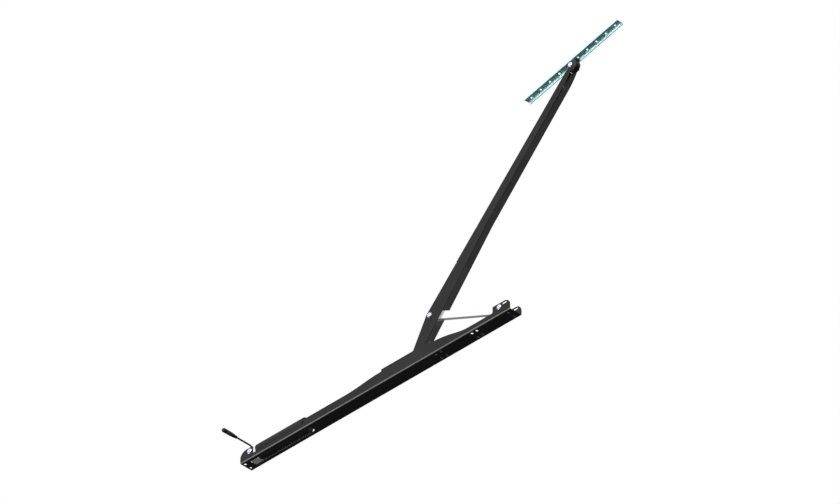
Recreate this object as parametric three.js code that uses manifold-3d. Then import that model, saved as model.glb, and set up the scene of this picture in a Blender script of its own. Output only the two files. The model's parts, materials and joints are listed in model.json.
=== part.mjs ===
// Lift arm for an up-and-over door: a gas spring in a channel pushes a carriage, the carriage
// raises a folded-sheet arm against a link, and a short drilled rail on the arm's tip bolts to the
// door.
// Millimetres, +Z up, +X along the channel towards the link's ears, origin on the middle of the
// channel's underside. The near side is -Y.
import * as THREE from "three";
import { mergeVertices } from "three/addons/utils/BufferGeometryUtils.js";
import Module from "manifold-3d";

const wasm = await Module();
wasm.setup();

// ---------------------------------------------------------------- driving dimensions
const GAP = 0.3; // running gap between pieces that touch

// Channel, measured along x from its left end.
const BASE_LENGTH = 1410;
const BASE_HALF = 31; // half of the outer width
const BASE_SHEET = 2.5;
const BASE_BEND = 3.5; // outer radius of the two long bends
const BASE_INNER = BASE_HALF - BASE_SHEET;
const BASE_CORNER = 30; // radius of the outer corners at both ends of the flanges
const CUTOUT = { from: 37, to: 350, half: 15.2, corner: 6 }; // opening in the web under the spring
const WEB_HOLE_RADIUS = 5.2;
const WEB_HOLE_ROWS = [-15, 15.5];
const WEB_HOLE_STATIONS = [11, 1008, 1034, 1197, 1222, 1386];
const EAR_TOP = 51;
const EAR_SLOT = { x: 1381, z: 41.5, length: 23, height: 7.5 };

// The spring's axis, the carriage pivot and both base pivots share one height.
const AXIS_Z = 32.5;
const ANCHOR_X = 51;
const TUBE_RADIUS = 31.5;
const TUBE_WALL = 2.5;
const TUBE_FROM = 77;
const TUBE_TO = 322;
const ROD_RADIUS = 10;
const PISTON_X = 250;

// Pivots at rest: carriage, knee (arm and link), ear (link and channel) and tip (arm and rail).
const CARRIAGE = { x: 886.3, z: AXIS_Z };
const KNEE = { x: 976, z: 194 };
const EAR = { x: 1356, z: AXIS_Z };
const TIP = { x: 1712.5, z: 959.5 };
const RAIL_ANGLE = THREE.MathUtils.degToRad(14.04);

// Arm.
const ARM_HALF = 15.5;
const ARM_SHEET = 2.5;
const ARM_INNER = ARM_HALF - ARM_SHEET;
const KNEE_MARGIN = 20.3; // knee pivot to the back edge, and the foot's radius
const TIP_RADIUS = 10.5;
const TIP_HEAD = { from: -50, full: -24, to: -9, height: 16.5 }; // raised corner, from the tip pivot
const WEB_FROM = 220; // the back web starts here, measured from the knee along the arm
const WEB_STOP_SHORT = 25; // and ends this far before the tip pivot
const WEB_HOLE = { s: 978, radius: 12.4 };
const FOOT_FLARE = 0.0688; // slope of the wide lower part's open edge
const PLUG = { s: -88, v: -46, radius: 4 };

// Link, measured from the knee pivot towards the ear pivot. The bar tapers, and its lower edge runs
// straight into the eye.
const LINK_HALF = 8.8;
const LINK_TOP = { from: [60, 18.4], to: [352, 0.4] };
const LINK_BOTTOM_FROM = [74, -14.1];
const LINK_EYE_RADIUS = 15.4;
const LINK_SLOT = { length: 36, height: 16.4, angle: THREE.MathUtils.degToRad(45) };
const LINK_HEAD_RADIUS = 23.5;

// Door rail, measured along itself from the tip pivot, and outwards from that pivot.
const RAIL = { from: -246, to: 254, low: 17.9, high: 29.5, half: 17.5, sheet: 3.4 };
const RAIL_WEB = { low: 23.2, high: 25.7 };
const RAIL_HOLES = { first: -221, pitch: 50, count: 10, radius: 4 };
const BRACKET = { half: 12, foot: 27.5, radius: 24.2, skirt: 15.5 };
const BRACKET_SCREWS = [-21, 20];

// Carriage rollers.
const ROLLER_RADIUS = AXIS_Z - BASE_SHEET - GAP;
const ROLLER = { near: 16.4, far: 27.8 };
const AXLE_RADIUS = 7;

// Release lever: a rod bent at a right angle, with its upright leg in the end fitting.
const LEVER = { x: 41.5, y: -13, z: 69.8, radius: 3.5, bend: 9 };
const GRIP = { from: -91, to: -164, radius: 8.5 };

const BOLT_RADIUS = 5;
const HOLE_RADIUS = BOLT_RADIUS + GAP;
const BUSH_RADIUS = 7;

// Sides of the round pieces: the spring and the rollers, the pins and washers, the small holes.
const SIDES = { large: 28, medium: 18, small: 12 };

// ---------------------------------------------------------------- materials
const material = (color, roughness, metalness) =>
  new THREE.MeshStandardMaterial({ color, roughness, metalness });
const BLACK_PAINT = material(0x1c1c1d, 0.55, 0.1);
const GREY_PAINT = material(0x3d3e40, 0.5, 0.2);
const ZINC = material(0xc9cede, 0.35, 0.9);
const GALVANISED = material(0xb9cccb, 0.45, 0.85);
const ALUMINIUM = material(0xc4c4c6, 0.4, 0.9);
const CHROME = material(0xd8dadc, 0.12, 1.0);
const NYLON = material(0x26262a, 0.6, 0.0);
const RUBBER = material(0x121213, 0.85, 0.0);
const BRONZE = material(0xa8763e, 0.4, 0.9);

// ---------------------------------------------------------------- solids
function solidOf(geometry) {
  const bare = new THREE.BufferGeometry();
  bare.setAttribute("position", geometry.getAttribute("position"));
  if (geometry.index) bare.setIndex(geometry.index);
  const merged = mergeVertices(bare, 1e-4);
  const vertProperties = Float32Array.from(merged.attributes.position.array);
  const triVerts = Uint32Array.from(merged.index.array);
  return new wasm.Manifold(new wasm.Mesh({ numProp: 3, vertProperties, triVerts }));
}

function geometryOf(solid) {
  const mesh = solid.getMesh();
  const geometry = new THREE.BufferGeometry();
  geometry.setAttribute("position", new THREE.BufferAttribute(mesh.vertProperties, 3));
  geometry.setIndex(new THREE.BufferAttribute(mesh.triVerts, 1));
  geometry.computeVertexNormals();
  return geometry;
}

function join(...geometries) {
  return geometryOf(geometries.map(solidOf).reduce((all, one) => all.add(one)));
}

function cut(body, ...tools) {
  return geometryOf(tools.map(solidOf).reduce((left, tool) => left.subtract(tool), solidOf(body)));
}

function common(a, b) {
  return geometryOf(solidOf(a).intersect(solidOf(b)));
}

// A box between two corners.
function box(x0, x1, y0, y1, z0, z1) {
  const geometry = new THREE.BoxGeometry(x1 - x0, y1 - y0, z1 - z0);
  return geometry.translate((x0 + x1) / 2, (y0 + y1) / 2, (z0 + z1) / 2);
}

function extruded(shape, depth, curveSegments) {
  return new THREE.ExtrudeGeometry(shape, { depth, bevelEnabled: false, curveSegments });
}

// A shape drawn in x and z, made into a plate between two values of y.
function plate(shape, near, far, curveSegments = 8) {
  return extruded(shape, far - near, curveSegments).rotateX(Math.PI / 2).translate(0, far, 0);
}

// A shape drawn in y and z, made into a bar between two values of x.
function bar(shape, from, to, curveSegments = 3) {
  const geometry = extruded(shape, to - from, curveSegments);
  return geometry.rotateY(Math.PI / 2).rotateX(Math.PI / 2).translate(from, 0, 0);
}

// A shape drawn in x and y, made into a slab between two values of z.
function slab(shape, low, high, curveSegments = 4) {
  return extruded(shape, high - low, curveSegments).translate(0, 0, low);
}

// A profile of [radius, height] pairs turned about an axis, heights running along that axis.
function turned(axis, profile, sides = SIDES.medium) {
  const geometry = new THREE.LatheGeometry(
    profile.map(([r, h]) => new THREE.Vector2(r, h)),
    sides,
  );
  if (axis === "x") geometry.rotateZ(-Math.PI / 2);
  if (axis === "z") geometry.rotateX(Math.PI / 2);
  return geometry;
}

// A round bar with small chamfers at both ends.
function pin(axis, radius, from, to, sides = SIDES.medium, chamfer = 0.6) {
  return turned(
    axis,
    [
      [0, from],
      [radius - chamfer, from],
      [radius, from + chamfer],
      [radius, to - chamfer],
      [radius - chamfer, to],
      [0, to],
    ],
    sides,
  );
}

// A plain cylinder for cutting a round hole.
function drill(axis, radius, from, to, sides = SIDES.small) {
  return pin(axis, radius, from, to, sides, 0);
}

// A plain ring: a washer, a bush or a tube.
function ring(axis, inner, outer, from, to, sides = SIDES.medium) {
  return turned(
    axis,
    [
      [inner, from],
      [outer, from],
      [outer, to],
      [inner, to],
      [inner, from],
    ],
    sides,
  );
}

function hexagon(axis, acrossFlats, from, to) {
  const radius = acrossFlats / Math.sqrt(3);
  const geometry = new THREE.CylinderGeometry(radius, radius, to - from, 6);
  geometry.translate(0, (from + to) / 2, 0);
  if (axis === "x") geometry.rotateZ(-Math.PI / 2);
  if (axis === "z") geometry.rotateX(Math.PI / 2);
  return geometry;
}

function roundedRectangle(x0, x1, y0, y1, radius) {
  const shape = new THREE.Shape();
  shape.moveTo(x0 + radius, y0);
  shape.lineTo(x1 - radius, y0);
  shape.absarc(x1 - radius, y0 + radius, radius, -Math.PI / 2, 0);
  shape.lineTo(x1, y1 - radius);
  shape.absarc(x1 - radius, y1 - radius, radius, 0, Math.PI / 2);
  shape.lineTo(x0 + radius, y1);
  shape.absarc(x0 + radius, y1 - radius, radius, Math.PI / 2, Math.PI);
  shape.lineTo(x0, y0 + radius);
  shape.absarc(x0 + radius, y0 + radius, radius, Math.PI, Math.PI * 1.5);
  return shape;
}

// ---------------------------------------------------------------- fasteners
const HEAD = { radius: 10.6, rim: 1, height: 3.6, top: 6, socket: 6, socketDepth: 2.6 };
const WASHER = { radius: 13.4, thickness: 1.2 };
const NUT = { acrossFlats: 17, height: 8 };

// A domed socket-head bolt along y: its head stands at negative y, its shank starts at zero.
function domedBolt(length) {
  const dome = new THREE.EllipseCurve(
    HEAD.top,
    -HEAD.rim,
    HEAD.radius - HEAD.top,
    HEAD.height - HEAD.rim,
    -Math.PI / 2,
    0,
  );
  const head = dome.getPoints(3).map((p) => [p.x, p.y]);
  const profile = [
    [0, -HEAD.height],
    ...head,
    [HEAD.radius, 0],
    [BOLT_RADIUS, 0],
    [BOLT_RADIUS, length - 1],
    [BOLT_RADIUS - 1, length],
    [0, length],
  ];
  const bolt = turned("y", profile);
  const socket = hexagon("y", HEAD.socket, -HEAD.height - 1, -HEAD.height + HEAD.socketDepth);
  return cut(bolt, socket);
}

function lockNut(from) {
  const collar = ring("y", 0, BOLT_RADIUS + 2.6, from + NUT.height - 3, from + NUT.height);
  const body = join(hexagon("y", NUT.acrossFlats, from, from + NUT.height - 2.4), collar);
  return cut(body, drill("y", HOLE_RADIUS, from - 1, from + NUT.height + 1));
}

// Bolt, two nylon washers and lock nut through a joint that is 2 * half wide, all centred on y = 0.
function boltSet(group, name, half) {
  const nearFace = -half - GAP;
  const farFace = half + GAP;
  const headSeat = nearFace - WASHER.thickness - GAP;
  const nutSeat = farFace + WASHER.thickness + GAP;
  const bolt = domedBolt(nutSeat + NUT.height + 2 - headSeat).translate(0, headSeat, 0);
  add(group, name + "_bolt", bolt, ZINC);
  const washer = () => ring("y", HOLE_RADIUS, WASHER.radius, 0, WASHER.thickness);
  add(group, name + "_washer_near", washer().translate(0, nearFace - WASHER.thickness, 0), NYLON);
  add(group, name + "_washer_far", washer().translate(0, farFace, 0), NYLON);
  add(group, name + "_nut", lockNut(nutSeat), ZINC);
}

// ---------------------------------------------------------------- assembly frames
const part = new THREE.Group();

function add(group, name, geometry, finish) {
  const mesh = new THREE.Mesh(geometry, finish);
  mesh.name = name;
  group.add(mesh);
  return mesh;
}

// A group whose origin is a pivot and whose x axis is raised by an angle.
function frameAt(parent, pivot, elevation = 0) {
  const group = new THREE.Group();
  group.position.set(pivot.x, 0, pivot.z);
  group.rotation.y = -elevation;
  parent.add(group);
  return group;
}

const base = frameAt(part, { x: -BASE_LENGTH / 2, z: 0 });
const carriage = frameAt(base, CARRIAGE);
const armElevation = Math.atan2(TIP.z - KNEE.z, TIP.x - KNEE.x);
const arm = frameAt(base, KNEE, armElevation);
const linkDrop = Math.atan2(KNEE.z - EAR.z, EAR.x - KNEE.x);
const link = frameAt(base, KNEE, -linkDrop);
const rail = frameAt(base, TIP, RAIL_ANGLE);

// ---------------------------------------------------------------- channel
// One flange seen from the side: low beside the spring, high beside the carriage's track, and
// ending in the ear that carries the link.
function flangeOutline() {
  const shape = new THREE.Shape();
  shape.moveTo(0, 0);
  shape.lineTo(BASE_LENGTH, 0);
  shape.lineTo(BASE_LENGTH, EAR_TOP - BASE_CORNER);
  shape.absarc(BASE_LENGTH - BASE_CORNER, EAR_TOP - BASE_CORNER, BASE_CORNER, 0, Math.PI / 2);
  shape.lineTo(1323, EAR_TOP);
  shape.absarc(1323, EAR_TOP - 4, 4, Math.PI / 2, Math.PI);
  shape.lineTo(1319, 32);
  shape.absarc(1311, 32, 8, 0, -Math.PI / 2, true);
  shape.lineTo(1190, 24);
  shape.bezierCurveTo(1135, 24, 1085, 51.5, 1000, 51.5);
  shape.lineTo(978, 51.5);
  shape.lineTo(978, 61);
  shape.lineTo(737, 61);
  shape.lineTo(737, 51);
  shape.bezierCurveTo(660, 51, 620, 37.5, 540, 37.5);
  shape.lineTo(330, 37.5);
  shape.lineTo(330, 18);
  shape.lineTo(66, 18);
  shape.lineTo(66, 50);
  shape.lineTo(BASE_CORNER, 50);
  shape.absarc(BASE_CORNER, 50 - BASE_CORNER, BASE_CORNER, Math.PI / 2, Math.PI);
  shape.lineTo(0, 0);
  return shape;
}

// The folded section: a U with round bends, open upwards.
function channelSection() {
  const top = 61;
  const inner = BASE_BEND - BASE_SHEET;
  const shape = new THREE.Shape();
  shape.moveTo(-BASE_HALF, top);
  shape.lineTo(-BASE_HALF, BASE_BEND);
  shape.absarc(-BASE_HALF + BASE_BEND, BASE_BEND, BASE_BEND, Math.PI, Math.PI * 1.5);
  shape.lineTo(BASE_HALF - BASE_BEND, 0);
  shape.absarc(BASE_HALF - BASE_BEND, BASE_BEND, BASE_BEND, -Math.PI / 2, 0);
  shape.lineTo(BASE_HALF, top);
  shape.lineTo(BASE_INNER, top);
  shape.lineTo(BASE_INNER, BASE_BEND);
  shape.absarc(BASE_HALF - BASE_BEND, BASE_BEND, inner, 0, -Math.PI / 2, true);
  shape.lineTo(-BASE_HALF + BASE_BEND, BASE_SHEET);
  shape.absarc(-BASE_HALF + BASE_BEND, BASE_BEND, inner, -Math.PI / 2, -Math.PI, true);
  shape.lineTo(-BASE_INNER, top);
  return shape;
}

function channel() {
  const folded = common(
    bar(channelSection(), 0, BASE_LENGTH),
    plate(flangeOutline(), -BASE_HALF - 1, BASE_HALF + 1),
  );
  const across = [-BASE_HALF - 5, BASE_HALF + 5];
  const tools = [
    slab(roundedRectangle(CUTOUT.from, CUTOUT.to, -CUTOUT.half, CUTOUT.half, CUTOUT.corner), -5, 8),
    drill("y", HOLE_RADIUS, ...across).translate(ANCHOR_X, 0, AXIS_Z),
    drill("y", HOLE_RADIUS, ...across).translate(EAR.x, 0, EAR.z),
    plate(
      roundedRectangle(
        EAR_SLOT.x - EAR_SLOT.length / 2,
        EAR_SLOT.x + EAR_SLOT.length / 2,
        EAR_SLOT.z - EAR_SLOT.height / 2,
        EAR_SLOT.z + EAR_SLOT.height / 2,
        EAR_SLOT.height / 2 - 0.01,
      ),
      ...across,
      3,
    ),
  ];
  for (const x of WEB_HOLE_STATIONS) {
    for (const y of WEB_HOLE_ROWS) {
      tools.push(drill("z", WEB_HOLE_RADIUS, -5, 8).translate(x, y, 0));
    }
  }
  return cut(folded, ...tools);
}

add(base, "base_channel", channel(), BLACK_PAINT);

// ---------------------------------------------------------------- gas spring, fixed part
const spring = new THREE.Group();
spring.position.set(0, 0, AXIS_Z);
base.add(spring);

const GLAND_RIM = 5; // length of the gland outside the tube
const REAR_CAP = { from: 66.4, radius: 30.6 };
const SPIGOT = { length: 12, radius: TUBE_RADIUS - TUBE_WALL - GAP };
const STUD = { from: 57.5, radius: 7 }; // on the rear cap, held by the end fitting

function cylinderTube() {
  const inner = TUBE_RADIUS - TUBE_WALL;
  return ring("x", inner, TUBE_RADIUS, TUBE_FROM, TUBE_TO - GLAND_RIM - GAP, SIDES.large);
}

add(spring, "cylinder_tube", cylinderTube(), BLACK_PAINT);

// The lever's plunger runs beside the axis, through a hole in the rear cap.
const PLUNGER = { y: LEVER.y, z: 20 - AXIS_Z, radius: 3, from: 50.3, to: 90 };

// A bare metal disc behind the tube, with a stud on one side and a spigot on the other.
function rearCap() {
  const rim = TUBE_FROM - GAP;
  const inside = rim + SPIGOT.length;
  const body = turned(
    "x",
    [
      [0, STUD.from],
      [STUD.radius - 1, STUD.from],
      [STUD.radius, STUD.from + 1],
      [STUD.radius, REAR_CAP.from],
      [REAR_CAP.radius - 2, REAR_CAP.from],
      [REAR_CAP.radius, REAR_CAP.from + 2],
      [REAR_CAP.radius, rim],
      [SPIGOT.radius, rim],
      [SPIGOT.radius, inside],
      [0, inside],
    ],
    SIDES.large,
  );
  const hole = drill("x", PLUNGER.radius + GAP, REAR_CAP.from - 5, inside + 5);
  return cut(body, hole.translate(0, PLUNGER.y, PLUNGER.z));
}

function rodGland() {
  const rim = TUBE_TO - GLAND_RIM;
  const inside = rim - SPIGOT.length;
  return turned(
    "x",
    [
      [ROD_RADIUS + GAP, inside],
      [SPIGOT.radius, inside],
      [SPIGOT.radius, rim],
      [TUBE_RADIUS, rim],
      [TUBE_RADIUS, TUBE_TO - 2.5],
      [TUBE_RADIUS - 2.5, TUBE_TO],
      [ROD_RADIUS + 5.3, TUBE_TO],
      [ROD_RADIUS + 5.3, TUBE_TO - 4.3],
      [ROD_RADIUS + GAP, TUBE_TO - 4.3],
      [ROD_RADIUS + GAP, inside],
    ],
    SIDES.large,
  );
}

function rodWiper() {
  return ring("x", ROD_RADIUS + GAP, ROD_RADIUS + 5, TUBE_TO - 4, TUBE_TO + 1.5);
}

add(spring, "cylinder_rear_cap", rearCap(), ALUMINIUM);
add(spring, "rod_gland", rodGland(), BLACK_PAINT);
add(spring, "rod_wiper", rodWiper(), RUBBER);

// ---------------------------------------------------------------- end fitting and anchor
const FITTING = { from: 36, to: REAR_CAP.from - GAP, half: 18.5, low: 4.5, high: 16 };
const FITTING_EYE = { radius: 12, half: 7, boss: 11 };

function endFitting() {
  const { from, to, half, low, high } = FITTING;
  const eye = FITTING_EYE;
  const body = join(
    slab(roundedRectangle(from, to, -half, half, 3), low, high),
    pin("y", eye.radius, -eye.half, eye.half).translate(ANCHOR_X, 0, AXIS_Z),
    box(ANCHOR_X - 11, ANCHOR_X + 11, -eye.half, eye.half, high - 2, AXIS_Z),
    pin("x", eye.boss, ANCHOR_X + 4, to).translate(0, 0, AXIS_Z),
    box(56, 63, -half + 0.5, -8.5, high - 2, 25),
  );
  return cut(
    body,
    drill("y", HOLE_RADIUS, -20, 20).translate(ANCHOR_X, 0, AXIS_Z),
    drill("x", STUD.radius + GAP, STUD.from - 0.5, to + 5, SIDES.medium).translate(0, 0, AXIS_Z),
    drill("x", PLUNGER.radius + GAP, 53, to + 5).translate(0, PLUNGER.y, PLUNGER.z + AXIS_Z),
    drill("z", LEVER.radius + GAP, low - 2, high + 4).translate(LEVER.x, LEVER.y, 0),
  );
}

add(base, "end_fitting", endFitting(), ALUMINIUM);
boltSet(frameAt(base, { x: ANCHOR_X, z: AXIS_Z }), "anchor", BASE_HALF);

// ---------------------------------------------------------------- release lever and plunger
add(
  spring,
  "release_plunger",
  pin("x", PLUNGER.radius, PLUNGER.from, PLUNGER.to, SIDES.small).translate(0, PLUNGER.y, PLUNGER.z),
  CHROME,
);

const lever = new THREE.Group();
lever.position.set(LEVER.x, LEVER.y, 0);
base.add(lever);

// The rod's centre line: up the leg, round the bend and out to the near side.
function leverRod() {
  const path = new THREE.CurvePath();
  const height = LEVER.z;
  const bend = LEVER.bend;
  const foot = new THREE.Vector3(0, 0, 5);
  const legTop = new THREE.Vector3(0, 0, height - bend);
  const bendEnd = new THREE.Vector3(0, -bend, height);
  const end = new THREE.Vector3(0, GRIP.to - LEVER.y + 12, height);
  path.add(new THREE.LineCurve3(foot, legTop));
  path.add(new THREE.QuadraticBezierCurve3(legTop, new THREE.Vector3(0, 0, height), bendEnd));
  path.add(new THREE.LineCurve3(bendEnd, end));
  const circle = new THREE.Shape().absarc(0, 0, LEVER.radius, 0, Math.PI * 2);
  const settings = { extrudePath: path, steps: 32, curveSegments: 4, bevelEnabled: false };
  return new THREE.ExtrudeGeometry(circle, settings);
}

// Grip profile along -y, from the thin inner neck to the round outer end.
function leverGrip() {
  const inner = GRIP.from - LEVER.y;
  const outer = GRIP.to - LEVER.y;
  const bore = LEVER.radius + GAP;
  const bottom = outer + 11.5;
  const grip = turned(
    "y",
    [
      [0, outer],
      [GRIP.radius * 0.55, outer + 0.6],
      [GRIP.radius * 0.87, outer + 3],
      [GRIP.radius, outer + 7],
      [GRIP.radius * 0.95, (inner + outer) / 2],
      [GRIP.radius * 0.8, inner - 14],
      [LEVER.radius + 2, inner],
      [bore, inner],
      [bore, bottom],
      [0, bottom],
    ],
  );
  return grip.translate(0, 0, LEVER.z);
}

// A round cam whose centre is offset from the leg, so that swinging the lever pushes the plunger.
const CAM = { offset: 3.6, radius: 8.5, low: 16.6, high: 24 };

function leverCam() {
  const disc = pin("z", CAM.radius, CAM.low, CAM.high).translate(0, -CAM.offset, 0);
  return cut(disc, drill("z", LEVER.radius + GAP, CAM.low - 1, CAM.high + 1));
}

add(lever, "lever_rod", leverRod(), BLACK_PAINT);
add(lever, "lever_grip", leverGrip(), RUBBER);
add(lever, "lever_cam", leverCam(), ZINC);

// ---------------------------------------------------------------- carriage
const AXLE_END = 28.2;
const EYE = { radius: 17, bushRadius: 8.5, half: 11.5, bore: 6.3, boreFrom: -24 };
const SHANK = { from: -46, radius: 12.5 };

add(carriage, "carriage_axle", pin("y", AXLE_RADIUS, -AXLE_END, AXLE_END), CHROME);

function trackRoller() {
  const rim = 1.5;
  const hubRecess = 2;
  return turned(
    "y",
    [
      [AXLE_RADIUS + GAP, ROLLER.near],
      [ROLLER_RADIUS - rim, ROLLER.near],
      [ROLLER_RADIUS, ROLLER.near + rim],
      [ROLLER_RADIUS, ROLLER.far - rim],
      [ROLLER_RADIUS - rim, ROLLER.far],
      [ROLLER_RADIUS - 6, ROLLER.far],
      [ROLLER_RADIUS - 7, ROLLER.far - hubRecess],
      [AXLE_RADIUS + 6, ROLLER.far - hubRecess],
      [AXLE_RADIUS + 5, ROLLER.far],
      [AXLE_RADIUS + GAP, ROLLER.far],
      [AXLE_RADIUS + GAP, ROLLER.near],
    ],
    SIDES.large,
  );
}

add(carriage, "track_roller_far", trackRoller(), NYLON);
add(carriage, "track_roller_near", trackRoller().rotateX(Math.PI), NYLON);

function rodEye() {
  const body = join(
    pin("y", EYE.radius, -EYE.half, EYE.half),
    pin("x", SHANK.radius, SHANK.from, -8),
  );
  return cut(
    body,
    drill("y", EYE.bushRadius + GAP, -20, 20, SIDES.medium),
    drill("x", EYE.bore + GAP, SHANK.from - 2, EYE.boreFrom),
  );
}

add(carriage, "rod_eye", rodEye(), ALUMINIUM);
const rodEyeBush = ring("y", AXLE_RADIUS + GAP, EYE.bushRadius, -EYE.half, EYE.half);
add(carriage, "rod_eye_bush", rodEyeBush, BRONZE);

const pistonX = PISTON_X - CARRIAGE.x;
const PISTON = { radius: 28.5, groove: 25.5, half: 6.5, grooveHalf: 2.5, bore: 6 };
const LOCK_NUT = { from: SHANK.from - 9, to: SHANK.from - GAP };

function pistonRod() {
  const shoulder = LOCK_NUT.from - GAP;
  return turned(
    "x",
    [
      [0, pistonX - PISTON.half - 2.5],
      [PISTON.bore, pistonX - PISTON.half - 2.5],
      [PISTON.bore, pistonX + PISTON.half + GAP],
      [ROD_RADIUS, pistonX + PISTON.half + GAP],
      [ROD_RADIUS, shoulder - 2],
      [ROD_RADIUS - 2, shoulder],
      [EYE.bore, shoulder],
      [EYE.bore, EYE.boreFrom - 2],
      [EYE.bore - 1, EYE.boreFrom - 1],
      [0, EYE.boreFrom - 1],
    ],
  );
}

// The piston's edge is grooved for its seal.
function piston() {
  return turned(
    "x",
    [
      [PISTON.bore + GAP, -PISTON.half],
      [PISTON.radius, -PISTON.half],
      [PISTON.radius, -PISTON.grooveHalf],
      [PISTON.groove, -PISTON.grooveHalf],
      [PISTON.groove, PISTON.grooveHalf],
      [PISTON.radius, PISTON.grooveHalf],
      [PISTON.radius, PISTON.half],
      [PISTON.bore + GAP, PISTON.half],
      [PISTON.bore + GAP, -PISTON.half],
    ],
    SIDES.large,
  ).translate(pistonX, 0, 0);
}

function pistonSeal() {
  const half = PISTON.grooveHalf - GAP;
  const seal = ring("x", PISTON.groove + GAP, SPIGOT.radius, -half, half, SIDES.large);
  return seal.translate(pistonX, 0, 0);
}

add(carriage, "piston_rod", pistonRod(), CHROME);
add(carriage, "piston", piston(), ALUMINIUM);
add(carriage, "piston_seal", pistonSeal(), RUBBER);
const rodNutBore = drill("x", EYE.bore + GAP, -70, -30);
add(carriage, "rod_lock_nut", cut(hexagon("x", 22, LOCK_NUT.from, LOCK_NUT.to), rodNutBore), ZINC);

// ---------------------------------------------------------------- arm
// Arm frame: s runs from the knee pivot to the tip pivot, v runs towards the arm's back.
const armLength = Math.hypot(TIP.x - KNEE.x, TIP.z - KNEE.z);
const foot = new THREE.Vector2(CARRIAGE.x - KNEE.x, CARRIAGE.z - KNEE.z).rotateAround(
  new THREE.Vector2(),
  -armElevation,
);
const legAngle = Math.atan2(-foot.y, -foot.x);
const flareAngle = Math.atan(FOOT_FLARE);

// Height of the back edge above the webbed part of the arm.
function backEdge(s) {
  return 22 - 0.0154 * (s - WEB_FROM);
}

function armSide() {
  const quarter = Math.PI / 2;
  const shape = new THREE.Shape();
  shape.moveTo(-4, KNEE_MARGIN);
  shape.lineTo(WEB_FROM, 17.6);
  shape.lineTo(WEB_FROM, backEdge(WEB_FROM));
  shape.lineTo(armLength + TIP_HEAD.from, backEdge(armLength + TIP_HEAD.from));
  shape.lineTo(armLength + TIP_HEAD.full, TIP_HEAD.height - 0.6);
  shape.lineTo(armLength + TIP_HEAD.to, TIP_HEAD.height);
  const endCut = armElevation - RAIL_ANGLE; // the end is cut parallel to the rail
  shape.absarc(armLength, 0, TIP_RADIUS, quarter - endCut, THREE.MathUtils.degToRad(-60), true);
  shape.quadraticCurveTo(armLength - 28, -23, armLength - 77, -25.7);
  shape.lineTo(440, -27);
  shape.lineTo(405, -27.6);
  const footEnd = legAngle + quarter - 2 * Math.PI;
  shape.absarc(foot.x, foot.y, KNEE_MARGIN, -quarter + flareAngle, footEnd, true);
  shape.lineTo(-4, KNEE_MARGIN);
  return shape;
}

function armWeb() {
  const end = armLength - WEB_STOP_SHORT;
  const shape = new THREE.Shape();
  shape.moveTo(WEB_FROM, backEdge(WEB_FROM) - ARM_SHEET);
  shape.lineTo(end, backEdge(end) - ARM_SHEET);
  shape.lineTo(end, backEdge(end));
  shape.lineTo(WEB_FROM, backEdge(WEB_FROM));
  return shape;
}

function armChannel() {
  const side = armSide();
  const body = join(
    plate(side, -ARM_HALF, -ARM_INNER, 10),
    plate(side, ARM_INNER, ARM_HALF, 10),
    plate(armWeb(), -ARM_HALF, ARM_HALF),
  );
  const across = [-ARM_HALF - 3, ARM_HALF + 3];
  return cut(
    body,
    drill("y", HOLE_RADIUS, ...across),
    drill("y", HOLE_RADIUS, ...across).translate(armLength, 0, 0),
    drill("y", AXLE_RADIUS + GAP, ...across, SIDES.medium).translate(foot.x, 0, foot.y),
    drill("y", PLUG.radius + GAP, 0, ARM_HALF + 3).translate(PLUG.s, 0, PLUG.v),
    drill("z", WEB_HOLE.radius, -8, 30, SIDES.medium).translate(WEB_HOLE.s, 0, 0),
  );
}

add(arm, "arm_channel", armChannel(), BLACK_PAINT);
boltSet(arm, "knee", ARM_HALF);

function flangePlug() {
  const body = turned(
    "y",
    [
      [0, ARM_INNER - 1.2],
      [PLUG.radius + 1.5, ARM_INNER - 1.2],
      [PLUG.radius + 1.5, ARM_INNER - GAP],
      [PLUG.radius, ARM_INNER - GAP],
      [PLUG.radius, ARM_HALF + 0.5],
      [0, ARM_HALF + 0.5],
    ],
    SIDES.small,
  );
  return body.translate(PLUG.s, 0, PLUG.v);
}

add(arm, "flange_plug", flangePlug(), NYLON);

// Friction discs fill the space between the link and the arm's sides.
const DISC = { inner: HOLE_RADIUS, outer: 13, from: LINK_HALF + GAP, to: ARM_INNER - GAP };
add(arm, "knee_disc_far", ring("y", DISC.inner, DISC.outer, DISC.from, DISC.to), NYLON);
add(arm, "knee_disc_near", ring("y", DISC.inner, DISC.outer, -DISC.to, -DISC.from), NYLON);

const tip = new THREE.Group();
tip.position.set(armLength, 0, 0);
arm.add(tip);
boltSet(tip, "tip", ARM_HALF);

// ---------------------------------------------------------------- link
// Link frame: x runs from the knee pivot to the ear pivot.
const linkLength = Math.hypot(EAR.x - KNEE.x, EAR.z - KNEE.z);

function linkOutline() {
  const { degToRad } = THREE.MathUtils;
  const eye = LINK_EYE_RADIUS;
  const shoulder = degToRad(125);
  const neck = degToRad(62);
  const [headX, headZ] = [LINK_HEAD_RADIUS * Math.cos(neck), LINK_HEAD_RADIUS * Math.sin(neck)];
  const shape = new THREE.Shape();
  shape.moveTo(...LINK_TOP.from);
  shape.lineTo(...LINK_TOP.to);
  shape.quadraticCurveTo(392, -2, linkLength + eye * Math.cos(shoulder), eye * Math.sin(shoulder));
  shape.absarc(linkLength, 0, eye, shoulder, -Math.PI / 2, true);
  shape.lineTo(...LINK_BOTTOM_FROM);
  shape.quadraticCurveTo(34, -13, headX, -headZ);
  shape.absarc(0, 0, LINK_HEAD_RADIUS, -neck, neck - 2 * Math.PI, true);
  shape.quadraticCurveTo(30, 20.2, ...LINK_TOP.from);
  return shape;
}

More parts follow.
